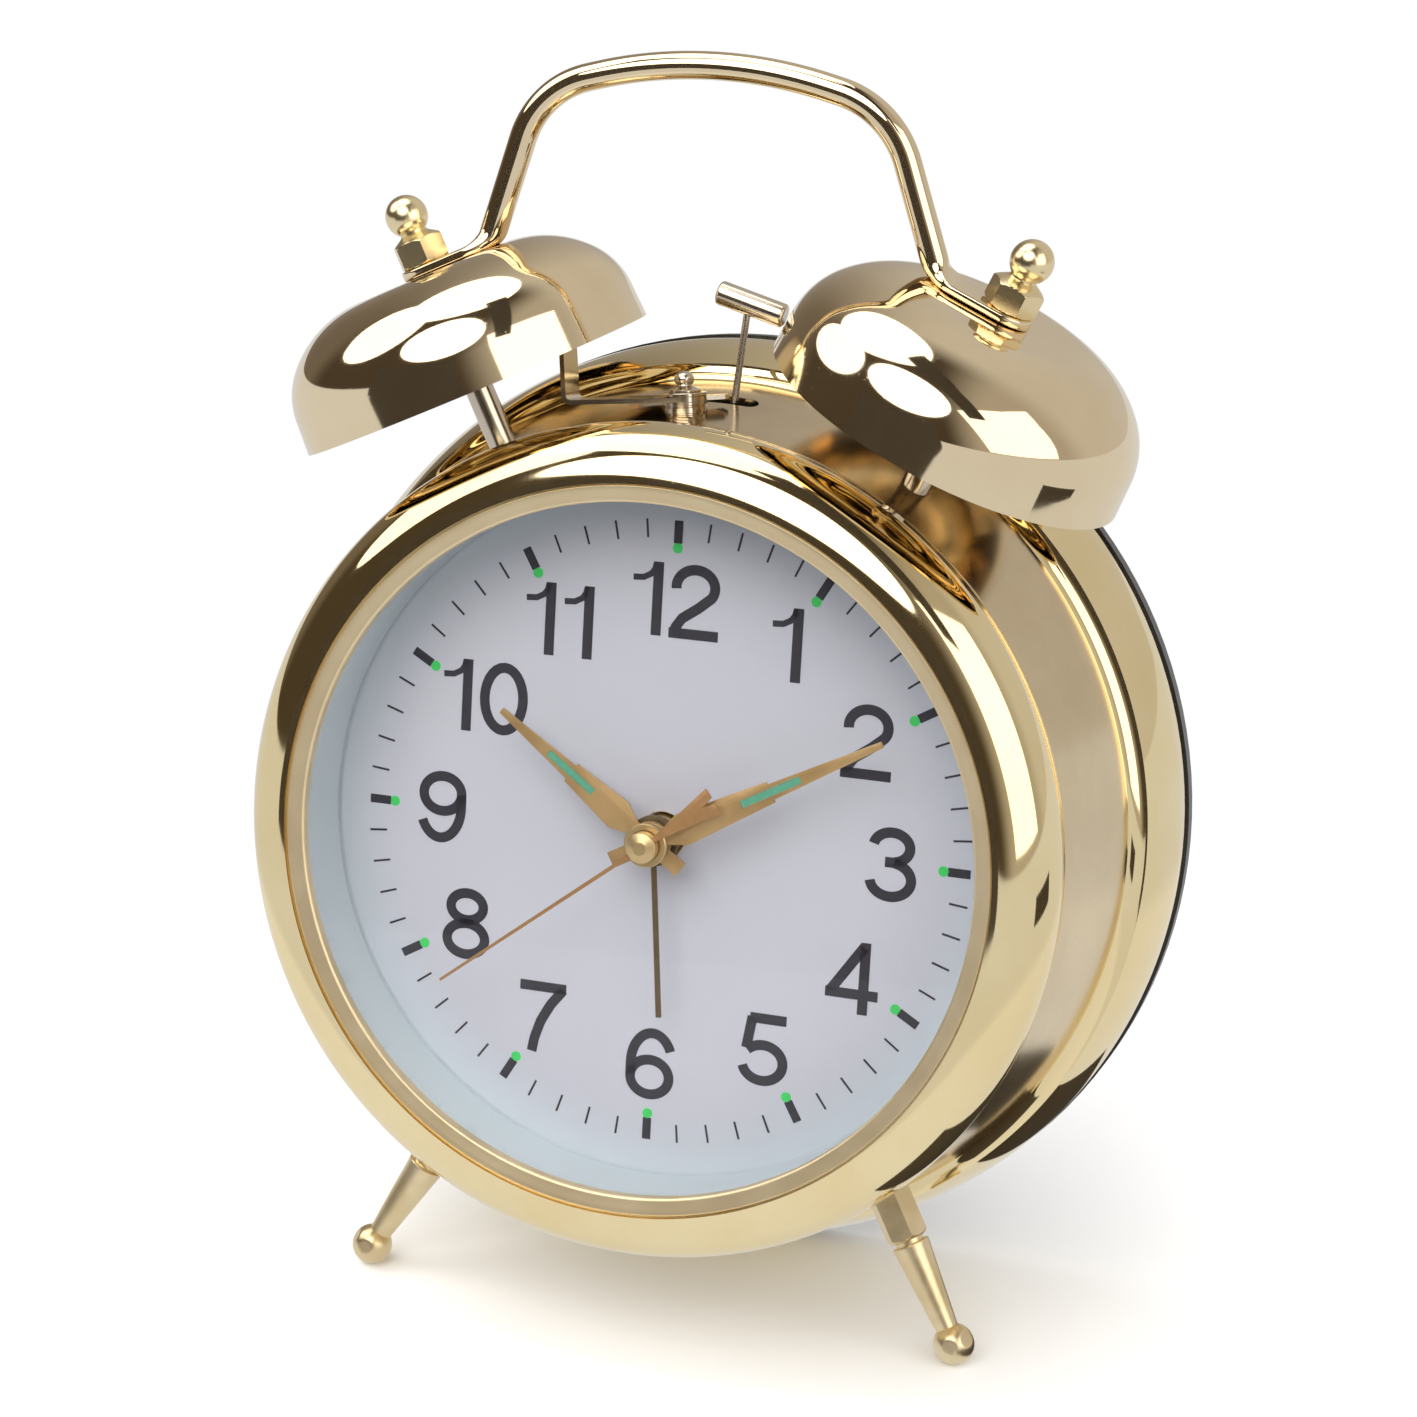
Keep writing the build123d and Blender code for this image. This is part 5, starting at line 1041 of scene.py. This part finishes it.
# Hub: the seconds hand's hub has a turned brass cap with a blunt cone, and a bright ring is staked round the
# minute hand's hub behind it. Both are satin brass.
hub_brass = polished("hub_brass", (0.80, 0.60, 0.32), (0.66, 0.47, 0.23), roughness=0.34, swell=0.02)
cone = [(0, -8.93), (0.85, -8.93), (1.0, -8.88), (1.9, -8.5), (1.97, -8.42), (1.97, -7.3), (0, -7.3)]
ring = [(1.98, -6.71), (2.05, -6.86), (2.7, -6.86), (2.82, -6.74), (2.82, -6.5), (1.98, -6.5)]
finished("hub_cone", spun(cone, 96), hub_brass, body="seconds", sharp=10)
finished("minute_hub_ring", spun(ring, 96), hub_brass, body="centre", sharp=10)

# Luminous fills: the two broad hands have a long slot, filled from behind with a lumpy green paint that glows
# in the dark. Each stands a little below its hand's face.
fill_half_width, fill_thickness, below_face, fill_gap = 0.47, 0.24, 0.06, 0.03
luminous, wire, shader = new_finish("luminous_paint")
lump = clouds(wire, 1800.0)
feed(
    shader,
    Base_Color=lump.mixed((0.06, 0.27, 0.17), (0.13, 0.40, 0.27)),
    Roughness=lump * 0.2 + 0.5,
    Normal=ripple(wire, lump, 0.3, 0.00008),
)
for name, body, angle, front, length, start, end in (
    ("hour_luminous_fill", "hour", 305.3, -5.0, 25.5, 0.38, 0.68),
    ("minute_luminous_fill", "centre", 61.2, -6.5, 34.0, 0.41, 0.66),
):
    low, high = start * length + fill_gap, end * length - fill_gap
    points = [(-fill_half_width, low), (fill_half_width, low), (fill_half_width, high), (-fill_half_width, high)]
    fill = blank(points, fill_thickness, -front - below_face - fill_thickness)
    turn = Matrix.Rotation(radians(angle), 4, "Y") @ stand_up
    finished(name, fill, luminous, place=clock @ turn, body=body)

# Back cover: a shallow cap of satin black painted steel over the rear rim, held by four screws. Through it
# come two winding keys, two setting knobs and the pin of the regulator.
black_paint, wire, shader = new_finish("satin_black")
rub = clouds(wire, 70.0, 4.0)
feed(
    shader,
    Base_Color=rub.between(0.45, 0.8).mixed((0.012, 0.012, 0.013), (0.022, 0.021, 0.020)),
    Roughness=rub * 0.15 + 0.26,
    Normal=ripple(wire, clouds(wire, 1100.0), 0.12, 0.00008),
)
dressed("back_cover", "case", black_paint, sharp=28)
for node, body in (
    ("time_winding_key", "time_key"), ("alarm_winding_key", "alarm_key"),
    ("time_set_knob", "time_setting"), ("alarm_set_knob", "alarm_setting"),
):
    dressed(node, body, polished_nickel, bevel=0.15)
dressed("cover_screws", "case", plain_steel, bevel=0.1)

# Movement: brass plates and wheels, steel arbors and pinions, and springs of blued steel. The closed case
# hides it, and it keeps the shapes of its CAD nodes.
movement_brass = rough_metal("movement_brass", (0.78, 0.58, 0.26), (0.66, 0.46, 0.18), 0.24)
blued_steel = rough_metal("blued_steel", (0.06, 0.09, 0.24), (0.04, 0.05, 0.14), 0.20)
for finish, nodes in (
    (movement_brass, (
        "front_plate", "rear_plate", "fourth_wheel", "third_wheel", "centre_wheel", "cannon_pinion",
        "minute_wheel", "hour_wheel", "alarm_wheel", "time_barrel", "alarm_barrel", "escape_wheel",
        "strike_wheel", "balance_wheel", "regulator_lever",
    )),
    (plain_steel, (
        "plate_pillars", "cover_standoffs", "post_nuts", "foot_nuts", "minute_stud", "seconds_arbor",
        "centre_arbor", "setting_arbor", "alarm_setting_arbor", "time_spring_arbor", "alarm_spring_arbor",
        "pallet_lever",
    )),
    (blued_steel, ("time_mainspring", "alarm_mainspring", "hairspring")),
):
    for node in nodes:
        give(node, finish)
